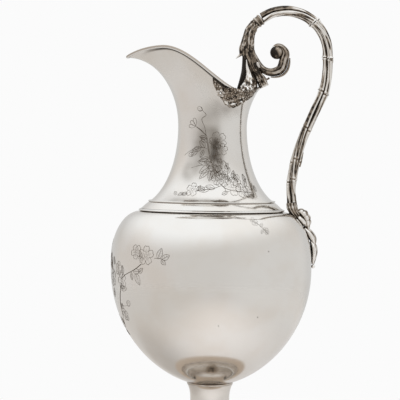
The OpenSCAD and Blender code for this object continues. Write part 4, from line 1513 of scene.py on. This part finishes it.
class CARAFE_OT_canes(bpy.types.Operator):
    """Casts the three twisted canes, their binding, cut shoots and bark foot"""

    bl_idname = "carafe.canes"
    bl_label = "Canes"

    around = 54
    along = 440
    step_a = 120
    stagger = 0.006
    # Angles from the bundle's outside at which the dark gaps and flanks begin
    gap_a = 104
    gap_a_start = 84
    start_share = 0.2
    gap_fade = 22
    flank_a = 75
    # Joints, as shares of the cane, and the beads round the first ones
    joint_reach = 0.04
    joint_share = 0.0038
    joint_gap = 0.0058
    joint_swell = 2.0
    groove_h = 0.25
    flute_h = 0.3
    flute_angles = (-46, 32)
    beaded = 3
    beads = 5
    bead_r = 0.42
    bead_step_a = 40
    bead_stagger = 0.004
    bead_clear = 0.3
    # Share of the cane, radius and length of each shoot, and where its hollow end begins
    shoot_places = ((0.478, 0.8, 3.0), (0.77, 0.9, 10.5))
    shoot_crease = 50
    shoot_end = 0.85
    # Places of the bark foot from the knee and its half thicknesses
    foot_places = ((-2.2, 4.2), (-1.5, 0.6), (-0.1, -2.3), (1.9, -4.7), (2.9, -5.8))
    foot_halves = (3.5, 3.4, 3.2, 2.8, 2.0)
    foot_bark_h = 0.3
    foot_ring_h = 0.3
    foot_wider = 1.1

    def joint(self, c, t, shift):
        """Ridge pair and dark groove of the joints at share t."""
        ridge = 0.0
        groove = 0.0
        for place in c.knuckle_at:
            off = t - place - shift
            if abs(off) < self.joint_reach:
                ridge = max(ridge, bump(off, 0, self.joint_share))
                ridge = max(ridge, 0.75 * bump(off, self.joint_gap * 1.6, self.joint_share))
                ridge = max(ridge, 0.35 * bump(off, 0.002, 0.016))
                ridge *= mix(1.0, 0.45, ease((t - 0.45) / 0.25))
                groove = max(groove, bump(off, self.joint_gap * 0.8, 0.0022))
        return ridge, groove

    def flute(self, off, t, start):
        """Depth of the long dark grooves of a cane at an angle from the bundle's outside."""
        deep = 0.0
        for line in self.flute_angles:
            at = line + 20 * noise.noise(Vector((line, start, 9 * t)))
            strength = clamp(0.5 + 1.6 * noise.noise(Vector((start + line, 3, 11 * t))))
            deep = max(deep, bump(off, at, 9) * strength)
        return deep

    def cane(self, c, name, node, start, shift, young=0.0, painted_shade=0.0):
        """One cane; young darkens its back near the binding; the last argument sets painted shade on its
        lower inside before the first joint.
        """

        def place(turn, t):
            ridge, groove = self.joint(c, t, shift)
            middle, d = c.cane_middle(t, start, 1.2 * c.knuckle_h * ridge)
            off = 180 - 360 * turn
            deep = self.flute(off, t, start) * (1 - ridge)
            gap_a = mix(self.gap_a_start, self.gap_a, clamp(t / self.start_share))
            gap = ease((abs(off) - gap_a) / self.gap_fade) * (1 - 0.6 * ridge)
            flank = mix(0.45, 0.9, t) * ease((abs(off) - self.flank_a) / self.flank_a)
            flank += 0.18 * ease((t - 0.6) / 0.2)
            patina = 0.9 * clamp(2 * streak(turn + start / 360, t, 11.0))
            patina += young * clamp(1.7 - abs(off + 48) / 36) * ease((0.19 - t) / 0.07)
            # Painted shade on the near cane's lower inside before the first joint
            patina += painted_shade * ease((-15 - off) / 30) * ease((t - 0.13) / 0.05) * ease((0.275 - t) / 0.03)
            r = c.cane_half(t) + c.knuckle_h * self.joint_swell * ridge
            r -= self.groove_h * groove + self.flute_h * deep
            p = middle + oval(d, r, r, start + c.cane_turn(t) + off)
            return p, clamp(max(groove, deep, gap, (patina + flank) * (1 - ridge)))

        bm = start_mesh()
        roll(bm, self.around, self.along, place)
        for at in c.knuckle_at[: self.beaded]:
            r = c.cane_half(at) + c.knuckle_h
            for k in range(self.beads):
                middle, d = c.cane_middle(at + shift + self.bead_stagger * (k % 2), start, self.bead_clear)
                angle = start + c.cane_turn(at) + self.bead_step_a * (k - self.beads // 2)
                bead(bm, middle + oval(d, r, r, angle), self.bead_r, fine=8)
        finish_piece(bm, name, CAST, node, crease=CAST_CREASE)

    def binding(self, c):
        """Collar of two rolled rings where the canes leave the root."""
        points = [c.loop_at(mix(c.bind_a + c.bind_half, c.bind_a - c.bind_half, t)) for t in steps(6)]

        def size(turn, t):
            rings = max(bump(t, 0.2, 0.13), bump(t, 0.82, 0.13))
            lobes = abs(cosd(270 * turn))
            half = c.bundle_top_r * (0.84 + 0.18 * rings + 0.05 * lobes * bump(t, 0.5, 0.2))
            return half, half, clamp(0.85 - 0.45 * rings)

        cast_rod("cane_collar", "cane_binding", 56, 40, points, size)

    def shoot(self, bm, c, at, radius, reach):
        """Cut side shoot on the near cane, with a hollow end."""
        middle, d = c.cane_middle(at, c.near_start, 0.0)
        out = (middle - in_space(curve_at(c.cane_points, at))).normalized()
        base = middle + out * (c.cane_half(at) + 0.4 * radius)
        ahead = in_space(d)
        side = out.cross(ahead)

        def place(turn, t):
            inward = clamp((t - self.shoot_end) / (1 - self.shoot_end))
            half = radius * mix(0.6, 1.0, min(t / 0.6, 1.0)) * mix(1, 0.45, inward)
            along = reach * min(t / self.shoot_end, 1.0) - 0.8 * radius * inward**2
            lean = -0.5 * (1 - clamp(2 * t)) * radius
            x, y = polar(half, 360 * turn)
            return base + ahead * along + out * (x + lean) + side * y, 0.72 + 0.3 * inward

        roll(bm, 20, 36, place)

    def foot(self, c):
        """Bark foot of the canes, bending down onto the shoulder."""
        points = [c.knee + Vector(p) for p in self.foot_places]

        def size(turn, t):
            rough = bark(turn, t, 1.2)
            ring = bump(t, 0.2, 0.06)
            half = curve_at(self.foot_halves, t) + self.foot_bark_h * rough + self.foot_ring_h * ring
            return half, half * self.foot_wider, clamp(0.85 - 0.55 * rough - 0.3 * ring)

        cast_rod("bark_foot", "cane_foot", 56, 60, points, size)

    def execute(self, context):
        c = Carafe(context.scene)
        self.cane(c, "near_cane", "cane_near", c.near_start, 0.0, painted_shade=1.0)
        self.cane(c, "outer_cane", "cane_outer", c.near_start + self.step_a, self.stagger, young=1.0)
        self.cane(c, "inner_cane", "cane_inner", c.near_start + 2 * self.step_a, -self.stagger)
        self.binding(c)
        bm = start_mesh()
        for place in self.shoot_places:
            self.shoot(bm, c, *place)
        finish_piece(bm, "cut_shoots", CAST, "cane_shoots", crease=self.shoot_crease)
        self.foot(c)
        return {"FINISHED"}


class CARAFE_OT_husks(bpy.types.Operator):
    """Casts the leaf husks that end the handle on the bowl"""

    bl_idname = "carafe.husks"
    bl_label = "Leaf husks"

    around = 48
    along = 60
    # Places from the knee, half thickness and half width along each leaf
    upper = (
        (1.1, -4.8, 0.6, 1.5), (3.1, -6.1, 2.2, 4.0), (5.0, -7.9, 2.6, 4.6), (6.9, -9.9, 2.2, 4.0),
        (8.2, -12.3, 0.9, 2.0),
    )
    middle = (
        (5.6, -13.0, 0.7, 2.0), (7.6, -14.2, 1.7, 4.0), (10.0, -16.6, 2.5, 5.0), (12.4, -19.8, 2.6, 5.0),
        (13.5, -22.5, 2.0, 4.0), (13.8, -24.6, 1.2, 2.5),
    )
    lower = (
        (11.9, -22.6, 1.2, 2.5), (13.6, -26.3, 2.2, 4.6), (14.0, -30.2, 2.2, 4.6), (13.6, -34.4, 1.8, 3.4),
        (13.3, -38.6, 0.8, 1.4),
    )
    outer = (
        (1.9, -2.6, 0.6, 2.0), (4.2, -2.0, 1.8, 3.0), (6.4, -3.6, 2.3, 3.6), (8.1, -6.4, 2.4, 3.6),
        (9.0, -9.8, 2.1, 3.0), (9.6, -13.8, 0.9, 1.5),
    )
    knob_share = 0.3
    knob_a = 900
    least_t = 0.3
    least_w = 0.5
    bead_at = (13.5, -40.2)
    bead_share = 0.3

    def husk(self, c, name, node, shape, knobs=0.0):
        """One folded leaf with a crest along its back, light flanks and a dark side towards the bowl."""
        points, halves, widths = split_shape(c.knee, shape)

        def size(turn, t):
            angle = -360 * turn
            back = cosd(angle)
            side = abs(sind(angle))
            crest = bump(side, 0, 0.22) if back > 0 else 0.0
            flank = bump(side, 0.62, 0.16) if back > 0 else 0.0
            lump = abs(cosd(self.knob_a * t))
            knob = knobs * lump * clamp(back + 0.3)
            under = ease((-back - 0.5) / 0.4)
            spot = Vector((2 * back, 2 * side, 5 * t)) + points[0].to_3d()
            worn = 0.6 * clamp(0.35 + 1.6 * noise.noise(spot)) * ease((back - 0.1) / 0.4)
            furrow = 1.3 * knobs * clamp(1 - 3 * lump)
            half = max(curve_at(halves, t), self.least_t) * (1 + 0.12 * crest - 0.16 * flank + knob)
            half_w = max(curve_at(widths, t), self.least_w) * (1 + 0.5 * knob)
            return half, half_w, clamp(0.95 * under + 0.5 * flank + worn + furrow)

        cast_rod(name, node, self.around, self.along, points, size)

    def execute(self, context):
        c = Carafe(context.scene)
        self.husk(c, "upper_husk", "husk_upper", self.upper)
        self.husk(c, "middle_husk", "husk_middle", self.middle)
        self.husk(c, "lower_husk", "husk_lower", self.lower)
        self.husk(c, "knobbed_leaf", "husk_outer", self.outer, self.knob_share)
        bm = start_mesh()
        bead(bm, in_space(c.knee + Vector(self.bead_at)), c.husk_t * self.bead_share, fine=24)
        finish_piece(bm, "end_bead", CAST, "husk_bead")
        return {"FINISHED"}


# Engraved sprays

# Stem: weight, gap to a second line, then places of angle from the front and height
# Other marks: angle and height, then what the Engraver's function of that name takes
NECK_SPRAY = {
    "stem": (
        (1.1, 0.0, (-17, 246), (-11, 242.8), (-18.2, 240), (-13, 234), (-10.6, 228.5)),
        (1.1, 0.5, (-28, 234.8), (-19, 232), (-10.6, 228.5)),
        (1.4, 0.6, (-10.6, 228.5), (-8, 222), (-5, 215), (-1, 208), (4, 201)),
        (1.0, 0.0, (-7, 219.5), (-16, 220.6), (-26, 220.5), (-38, 218), (-48.5, 215)),
        (1.2, 0.0, (7, 220), (3, 213), (-1, 208)),
        (1.0, 0.0, (-4, 207.5), (-14, 208.6), (-24, 207.6), (-31, 206.6)),
        (1.1, 0.0, (17, 212), (21, 207), (20, 201), (19, 197)),
        (1.1, 0.0, (9, 196), (15, 193), (24, 191.5), (36, 190.6), (48, 190.2)),
        (1.1, 0.0, (9, 194.5), (1, 192.8), (-8, 192), (-18, 191.2)),
    ),
    "leaf": (
        (-10, 227, 5.2, 168), (-9, 224, 6.0, 140), (-12, 220.5, 6.5, 128), (-18, 220.4, 7.0, 196),
        (-24, 219, 6.2, 222), (-4, 210.5, 8.5, 176), (-3, 208, 8.8, 214), (-5, 206.5, 9.5, 232, 0.18),
        (18, 206, 5.0, 60), (27, 199, 6.6, 76), (22, 198, 5.5, 120), (41, 194, 6.5, 62), (50, 192, 6.0, 48),
        (57, 190.5, 5.0, 70), (3, 193, 6.8, 168, 0.24, 1), (-3, 192.6, 7.6, 190, 0.22, 1),
        (-17, 191, 4.6, 60), (-27, 189.6, 4.5, 196), (2, 207, 8.0, 150), (4, 206, 7.0, 250),
        (6, 205, 7.0, 292), (-2, 205, 7.5, 262, 0.2), (-6, 214, 7.0, 205, 0.2), (-14, 219, 6.0, 250, 0.2),
        (16, 199, 6.0, 100), (20, 203, 5.0, 60), (33, 197.5, 6.0, 112), (45, 197, 6.0, 96),
        (-8, 191.5, 5.0, 150), (-38, 188, 4.6, 24, 0.24, 1), (-40, 188.4, 4.0, 150, 0.24, 1),
        (10, 189, 5.0, 20, 0.22, 1),
    ),
    "blossom": (
        (9, 225.5, 6.4, 40), (15, 219.5, 4.2, 10), (3, 209.5, 6.2, 18), (13, 207, 5.2, 60),
        (7, 199.3, 4.6, 30), (24, 194.5, 6.6, 54), (35, 191.5, 5.2, 20), (-22.5, 192, 4.8, 12),
        (12, 198.5, 5.0, 10), (30, 199, 4.6, 40), (43, 190.5, 4.6, 0),
    ),
    "bud": ((-17, 246, 4.2, 150), (-30, 216.8, 4.4, 205)),
    "cup": ((-28, 234.8, 6.2, 140),),
    "hatch": (
        (3.5, 225, 2.6, 4.4, 8), (3, 215.5, 3.2, 4.6, 11), (6, 206, 3.4, 3.6, 9),
        (4, 222, 3.4, 5.5, 12, 8, 0.8), (6, 212, 3.4, 5.5, 12, -10, 0.8),
    ),
}
BOWL_SPRAY = {
    "stem": (
        (1.1, 0.0, (-33, 147), (-29.5, 147), (-26.5, 146)),
        (1.4, 0.5, (-42, 142.6), (-46, 139.5), (-50, 137.2), (-56, 134.4), (-61, 131)),
        (1.3, 0.5, (-61, 128), (-64.5, 120), (-67, 113), (-69, 105)),
        (1.0, 0.0, (-66, 114), (-62, 112.6), (-57.5, 113.4)),
        (1.2, 0.0, (-69, 134), (-75, 139), (-79, 146), (-86, 152)),
        (1.2, 0.0, (-69, 105), (-74, 98), (-82, 93), (-90, 91)),
    ),
    "leaf": (
        (-30.5, 146.6, 7.6, 72, 0.28, 3), (-28, 146.6, 6.2, 26, 0.3, 2), (-28.5, 146, 4.6, -42, 0.3, 2),
        (-48.3, 137, 6.5, 8, 0.3), (-44, 136.4, 5.6, 40), (-46.4, 136.2, 8.8, -62), (-50, 136.6, 5.5, -78),
        (-58.5, 134, 6.6, 98), (-62, 124.8, 8.6, 2, 0.22, 2), (-63, 124, 6.8, 20, 0.24, 1),
        (-66, 110, 5.0, 60, 0.3, 1), (-70, 140, 6.6, 120, 0.26, 2), (-77, 136, 7.0, 80, 0.26, 2),
        (-74, 124, 7.4, 250, 0.26, 2), (-74, 98, 6.2, 100), (-80, 94, 5.8, -30),
    ),
    "blossom": (
        (-38.8, 148.4, 6.8, 18), (-46.5, 150.5, 5.2, 50), (-60, 130.2, 6.0, 36), (-64, 138, 5.2, 10),
        (-63.5, 106.5, 4.6, 24), (-74, 131, 6.6, 30), (-80, 142.5, 5.6, 0), (-84, 100, 4.8, 12),
    ),
    "bud": ((-57.5, 113.4, 5.2, 38), (-86, 152, 5.0, 110)),
    "hatch": ((-42.5, 147, 2.4, 3.2, 6),),
    "nick": ((4.1, 102.9), (27.7, 108.2), (32.6, 151.7)),
}
SHOULDER_SPRIG = {
    "stem": ((0.9, 0.0, (25, 172.8), (30, 169.4), (34.5, 163)),),
    "leaf": ((30.5, 168.2, 3.6, 40, 0.26, 1), (31.5, 166.4, 3.2, 230, 0.26, 1)),
    "blossom": ((27.5, 171.6, 2.8, 12), (33.5, 165.6, 2.4, 40)),
}


class Engraver:
    """Gathers fine cut lines on a skin that gives a point and the way out for an angle and a height."""

    petals = 5
    beside_weight = 0.8
    nick_offsets = ((0, 0), (0.15, 0.5), (0.2, 1.0))
    nick_weight = 1.4

    def __init__(self, skin):
        self.skin = skin
        self.lines = []

    def degrees(self, angle, height, size_mm):
        """Angle that a length takes up across the skin at a place."""
        point, _ = self.skin(angle, height)
        return math.degrees(size_mm / math.hypot(point.x, point.y))

    def cut(self, angle, height, offsets, weight=1.0, turn=0.0):
        """Line through offsets across and up, in millimetres, turned about a place."""
        per_mm = self.degrees(angle, height, 1.0)
        line = []
        for x, y in offsets:
            across = x * cosd(turn) - y * sind(turn)
            up = x * sind(turn) + y * cosd(turn)
            line.append(self.skin(angle + across * per_mm, height + up))
        self.lines.append((line, weight))

    def stem(self, weight, double, *places):
        """Smooth line through places of angle and height, with a lighter one beside it where wanted."""
        rows = [(Vector((0, 0)), weight)]
        if double:
            rows.append((Vector((self.degrees(*places[0], double), 0)), weight * self.beside_weight))
        for shift, row_weight in rows:
            points = [Vector(p) + shift for p in places]
            line = [self.skin(*curve_at(points, t)) for t in steps(8 * (len(points) - 1))]
            self.lines.append((line, row_weight))

    def leaf(self, angle, height, reach, turn, half_w=0.26, veins=4):
        """Pointed leaf from its base, with midrib and side veins."""
        for side in (-1, 1):
            edge = [(reach * t, side * reach * half_w * sind(180 * t**0.85) ** 0.9) for t in steps(9)]
            self.cut(angle, height, edge, turn=turn)
        self.cut(angle, height, [(reach * t * 0.92, 0.0) for t in steps(3)], 0.9, turn)
        for k in range(1, veins + 1):
            x = reach * k / (veins + 1.5)
            tip = reach * half_w * 0.72 * sind(180 * (x / reach) ** 0.85)
            for side in (-1, 1):
                self.cut(angle, height, [(x, 0.0), (x + 0.16 * reach, side * tip)], 0.6, turn)

    def blossom(self, angle, height, radius, turn):
        """Open blossom: notched petals with short shading cuts round a small eye."""
        span = 360 / self.petals
        rim = []
        for t in steps(12):
            r = radius * (0.42 + 0.58 * sind(180 * t) ** 0.55 - 0.13 * bump(t, 0.5, 0.09))
            rim.append(polar(r, span * 0.52 * (2 * t - 1)))
        for k in range(self.petals):
            at = turn + span * k
            self.cut(angle, height, rim, turn=at)
            for lean, outer in ((-0.22, 0.52), (0.0, 0.66), (0.22, 0.52)):
                shading = [polar(radius * r, span * lean) for r in (0.26, outer)]
                self.cut(angle, height, shading, 0.65, at)
        self.cut(angle, height, [polar(0.17 * radius, 45 * k) for k in range(9)], 0.9)

    def bud(self, angle, height, reach, turn):
        """Closed bud with two sepals."""
        for side in (-1, 1):
            edge = [(reach * t, side * 0.34 * reach * sind(180 * t**1.3) ** 0.8) for t in steps(8)]
            self.cut(angle, height, edge, turn=turn)
            sepal = [(0.0, 0.0), (0.2 * reach, side * 0.3 * reach), (0.48 * reach, side * 0.42 * reach)]
            self.cut(angle, height, sepal, 0.9, turn)
        self.cut(angle, height, [(0.3 * reach, 0.0), (0.85 * reach, 0.05 * reach)], 0.7, turn)

    def cup(self, angle, height, reach, turn):
        """Half-open flower seen from its side."""
        petal = []
        for t in steps(12):
            x = reach * (0.12 + 0.88 * sind(180 * t) ** 0.7)
            petal.append((x, 0.3 * reach * cosd(180 * t) * sind(180 * t) ** 0.4))
        for lean in (-34, 0, 34):
            self.cut(angle, height, petal, turn=turn + lean)
        for lean in (-20, 20):
            self.cut(angle, height, [(0.0, 0.0), (0.55 * reach, 0.0)], 0.7, turn + lean)

    def hatch(self, angle, height, half_w, half_h, count, turn=0.0, weight=0.6):
        """Shading of short cuts side by side in an oval."""
        for t in steps(count - 1):
            x = half_w * (2 * t - 1)
            y = half_h * math.sqrt(max(1 - (2 * t - 1) ** 2, 0.05))
            wave = 0.18 * half_h * (1 if int(t * count) % 2 else -1)
            row = [(x, -y + wave), (x + 0.1 * half_w, wave), (x, y + wave)]
            self.cut(angle, height, row, weight, turn)

    def nick(self, angle, height):
        """Small scratch."""
        self.cut(angle, height, self.nick_offsets, self.nick_weight)

    def draw(self, spray):
        """Every mark of a spray."""
        for kind, marks in spray.items():
            for mark in marks:
                getattr(self, kind)(*mark)

    def show(self, name, half_width, lift):
        """One mesh of all the lines, cut on both sides of the carafe."""
        curve = bpy.data.curves.new(name, "CURVE")
        curve.dimensions = "3D"
        curve.bevel_depth = half_width * MM
        curve.bevel_resolution = 0
        curve.use_fill_caps = True
        for side in (1, -1):
            for line, weight in self.lines:
                spline = curve.splines.new("POLY")
                last = len(line) - 1
                spline.points.add(last)
                for k, (place, out) in enumerate(line):
                    p = (place + out * lift) * MM
                    spline.points[k].co = (p.x, p.y * side, p.z, 1)
                    facing = mix(0.38, 1.0, clamp(1.3 * abs(out.y)) ** 1.5)
                    spline.points[k].radius = weight * facing * mix(0.55, 1.0, sind(180 * k / last) ** 0.5)
        maker = bpy.data.objects.new(name, curve)
        mesh = bpy.data.meshes.new_from_object(maker)
        bpy.data.objects.remove(maker)
        bpy.data.curves.remove(curve)
        mesh.name = name
        mesh.materials.clear()
        show_mesh(name, mesh, CUT_LINE, ())


class CARAFE_OT_engraving(bpy.types.Operator):
    """Cuts the flowering sprays on the neck and the bowl"""

    bl_idname = "carafe.engraving"
    bl_label = "Engraving"

    half_width = 0.15
    sprig_half_width = 0.09
    lift = 0.02

    def execute(self, context):
        c = Carafe(context.scene)
        for name, skin, spray, half_width in (
            ("neck_sprays", c.neck_skin, NECK_SPRAY, self.half_width),
            ("bowl_sprays", c.bowl_skin, BOWL_SPRAY, self.half_width),
            ("shoulder_sprigs", c.bowl_skin, SHOULDER_SPRIG, self.sprig_half_width),
        ):
            engraver = Engraver(skin)
            engraver.draw(spray)
            engraver.show(name, half_width, self.lift)
        return {"FINISHED"}


# Stage


def clear_tree(owner):
    """Emptied node tree of a material or world."""
    owner.use_nodes = True
    owner.node_tree.nodes.clear()
    return owner.node_tree


def add_distance(tree, coords, place):
    """Distance of the coordinates from a place."""
    node = add_node(tree, "ShaderNodeVectorMath", {0: coords, 1: place}, operation="DISTANCE")
    return node.outputs["Value"]


def mix_shaders(tree, factor, a, b):
    """Shader between the shaders of two nodes."""
    return add_node(tree, "ShaderNodeMixShader", {0: factor, 1: a.outputs[0], 2: b.outputs[0]})


class CARAFE_OT_stage(bpy.types.Operator):
    """Sets up the floor, the studio light and the camera"""

    bl_idname = "carafe.stage"
    bl_label = "Stage"

    # Floor as the carafe mirrors it: its tone far away, and painted light and shade on it, with the tones
    # there: a painted pool of light in front, painted shade to the left and painted light to the right, a
    # painted shadow left of the foot and a painted brown shadow round the foot
    floor_r = 0.8
    floor_sides = 96
    floor_far = (0.70, 0.675, 0.655)
    floor_painted_glow = (0.97, 0.935, 0.915)
    floor_left_painted_shade = (0.66, 0.63, 0.60)
    floor_right_painted_light = (0.76, 0.74, 0.72)
    floor_shade = (0.59, 0.555, 0.525)
    foot_shade = (0.60, 0.50, 0.41)
    painted_glow_at = (0.01, -0.09, 0.0)
    shade_at = (-0.09, 0.04, 0.0)
    # Floor as the camera sees it: pale paper that fades into the background
    paper = (0.95, 0.95, 0.95, 1)
    paper_from = 0.1
    paper_fade = 0.3
    edge_share = 0.95
    # Room as the carafe mirrors it: walls by the way they lie, and a ceiling that leans left
    front = (0.73, 0.712, 0.69)
    walls = (
        ("X", -1.0, -0.5, 1.0, 0.0, (0.74, 0.71, 0.685)),
        ("X", 0.0, 0.9, 0.0, 1.0, (0.775, 0.765, 0.75)),
        ("Y", 0.55, 0.95, 0.0, 1.0, (0.66, 0.655, 0.645)),
    )
    ceiling = (1.11, 1.125, 1.135)
    ceiling_lean = (-0.14, 0.0, 1.0)
    ceiling_from = 0.22
    ceiling_full = 0.85
    # Soft box above the carafe, in metres and watts
    lamp_at = (-0.2, -0.35, 1.3)
    lamp_aim = (0, 0, 0.1)
    lamp_w = 1.1
    lamp_h = 0.9
    lamp_power = 1.6
    sensor_w = 36.0
    view_end = 20.0

    def floor(self, white):
        """Plain pale floor that fades into the white background and keeps the carafe's shadow; where the
        carafe mirrors it, it carries painted light and shade.
        """
        bm = bmesh.new()
        bmesh.ops.create_circle(bm, cap_ends=True, segments=self.floor_sides, radius=self.floor_r)
        mesh = bpy.data.meshes.new("floor")
        bm.to_mesh(mesh)
        bm.free()
        material = bpy.data.materials.new("floor_paper")
        tree = clear_tree(material)
        coords = add_node(tree, "ShaderNodeTexCoord").outputs["Object"]
        across = add_node(tree, "ShaderNodeSeparateXYZ", {"Vector": coords}).outputs["X"]
        reach = add_distance(tree, coords, (0, 0, 0))
        # Painted light and shade of the floor that the carafe mirrors
        tone = self.floor_far
        for source, low, high, to_low, to_high, shade in (
            (add_distance(tree, coords, self.painted_glow_at), 0.0, 0.3, 1.0, 0.0, self.floor_painted_glow),
            (across, -0.24, 0.03, 1.0, 0.0, self.floor_left_painted_shade),
            (across, 0.05, 0.3, 0.0, 1.0, self.floor_right_painted_light),
            (add_distance(tree, coords, self.shade_at), 0.03, 0.13, 1.0, 0.0, self.floor_shade),
            (reach, 0.053, 0.06, 1.0, 0.0, self.foot_shade),
        ):
            tone = mix_colours(tree, map_range(tree, source, low, high, to_low, to_high), tone, shade)
        mirrored = add_node(tree, "ShaderNodeBsdfDiffuse", {"Color": tone})
        clear = add_node(tree, "ShaderNodeBsdfTransparent")
        away = map_range(tree, reach, self.paper_fade, self.edge_share * self.floor_r)
        pale = add_node(tree, "ShaderNodeBsdfDiffuse", {"Color": self.paper})
        plain = add_node(tree, "ShaderNodeEmission", {"Color": (white, white, white, 1)})
        fade = map_range(tree, reach, self.paper_from, self.paper_fade, 0.3, 1.0)
        path = add_node(tree, "ShaderNodeLightPath").outputs["Is Camera Ray"]
        both = mix_shaders(
            tree, path, mix_shaders(tree, away, mirrored, clear), mix_shaders(tree, fade, pale, plain)
        )
        add_node(tree, "ShaderNodeOutputMaterial", {"Surface": both.outputs[0]})
        mesh.materials.append(material)
        obj = bpy.data.objects.new("floor", mesh)
        bpy.context.scene.collection.objects.link(obj)

    def surroundings(self, white):
        """Soft studio: grey walls, a bright ceiling that leans left, and white that only the camera sees."""
        world = bpy.data.worlds.new("studio")
        bpy.context.scene.world = world
        tree = clear_tree(world)
        way = add_node(tree, "ShaderNodeTexCoord").outputs["Generated"]
        split = add_node(tree, "ShaderNodeSeparateXYZ", {"Vector": way})
        tone = self.front
        for axis, low, high, to_low, to_high, wall in self.walls:
            towards = map_range(tree, split.outputs[axis], low, high, to_low, to_high)
            tone = mix_colours(tree, towards, tone, wall)
        lean = add_node(tree, "ShaderNodeVectorMath", {0: way, 1: self.ceiling_lean}, operation="DOT_PRODUCT")
        up = map_range(tree, lean.outputs["Value"], self.ceiling_from, self.ceiling_full)
        studio = add_node(tree, "ShaderNodeBackground", {"Color": mix_colours(tree, up, tone, self.ceiling)})
        plain = add_node(tree, "ShaderNodeBackground", {"Color": (white, white, white, 1)})
        path = add_node(tree, "ShaderNodeLightPath").outputs["Is Camera Ray"]
        both = mix_shaders(tree, path, studio, plain)
        add_node(tree, "ShaderNodeOutputWorld", {"Surface": both.outputs[0]})

    def lamp(self):
        """Soft box that faces the carafe and isn't mirrored in it."""
        data = bpy.data.lights.new("top_box", "AREA")
        data.shape = "RECTANGLE"
        data.size = self.lamp_w
        data.size_y = self.lamp_h
        data.energy = self.lamp_power
        obj = bpy.data.objects.new("top_box", data)
        obj.location = self.lamp_at
        way = Vector(self.lamp_aim) - Vector(self.lamp_at)
        obj.rotation_euler = way.to_track_quat("-Z", "Y").to_euler()
        obj.visible_glossy = False
        bpy.context.scene.collection.objects.link(obj)

    def camera(self, stage):
        """Camera at the photograph's place."""
        data = bpy.data.cameras.new("camera")
        data.sensor_width = self.sensor_w
        data.lens = stage.focal
        data.shift_y = stage.drop
        data.clip_end = self.view_end
        obj = bpy.data.objects.new("camera", data)
        obj.location = stage.eye
        obj.rotation_euler = (math.pi / 2, stage.roll, 0)
        bpy.context.scene.collection.objects.link(obj)
        bpy.context.scene.camera = obj

    def execute(self, context):
        stage = context.scene.carafe_stage
        context.scene.view_settings.view_transform = "Standard"
        self.floor(stage.white)
        self.surroundings(stage.white)
        self.lamp()
        self.camera(stage)
        return {"FINISHED"}


class CARAFE_PT_panel(bpy.types.Panel):
    """Sizes, colours and pieces of the carafe"""

    bl_label = "Silver wine carafe"
    bl_idname = "CARAFE_PT_panel"
    bl_space_type = "VIEW_3D"
    bl_region_type = "UI"
    bl_category = "Carafe"

    def draw(self, context):
        for operator in PIECES:
            self.layout.operator(operator.bl_idname)
        for name, kind in GROUPS.items():
            box = self.layout.box()
            box.label(text=kind.__doc__)
            for key in kind.__annotations__:
                box.prop(getattr(context.scene, name), key)


GROUPS = {
    "carafe_body": CarafeBody, "carafe_handle": CarafeHandle, "carafe_finish": CarafeFinish,
    "carafe_stage": CarafeStage,
}
PIECES = (
    CARAFE_OT_finishes, CARAFE_OT_bowl, CARAFE_OT_neck, CARAFE_OT_mouldings, CARAFE_OT_mounts, CARAFE_OT_root,
    CARAFE_OT_scroll, CARAFE_OT_canes, CARAFE_OT_husks, CARAFE_OT_engraving, CARAFE_OT_stage,
)


def register():
    """Adds the properties, operators and panel."""
    for kind in (*GROUPS.values(), *PIECES, CARAFE_PT_panel):
        bpy.utils.register_class(kind)
    for name, kind in GROUPS.items():
        setattr(bpy.types.Scene, name, bpy.props.PointerProperty(type=kind))


def unregister():
    """Removes the panel, operators and properties."""
    for name in GROUPS:
        delattr(bpy.types.Scene, name)
    for kind in reversed((*GROUPS.values(), *PIECES, CARAFE_PT_panel)):
        bpy.utils.unregister_class(kind)


def main():
    """Makes every piece."""
    register()
    bpy.ops.carafe.finishes()
    bpy.ops.carafe.stage()
    bpy.ops.carafe.bowl()
    bpy.ops.carafe.neck()
    bpy.ops.carafe.mouldings()
    bpy.ops.carafe.mounts()
    bpy.ops.carafe.root()
    bpy.ops.carafe.scroll()
    bpy.ops.carafe.canes()
    bpy.ops.carafe.husks()
    bpy.ops.carafe.engraving()


if __name__ == "__main__":
    main()
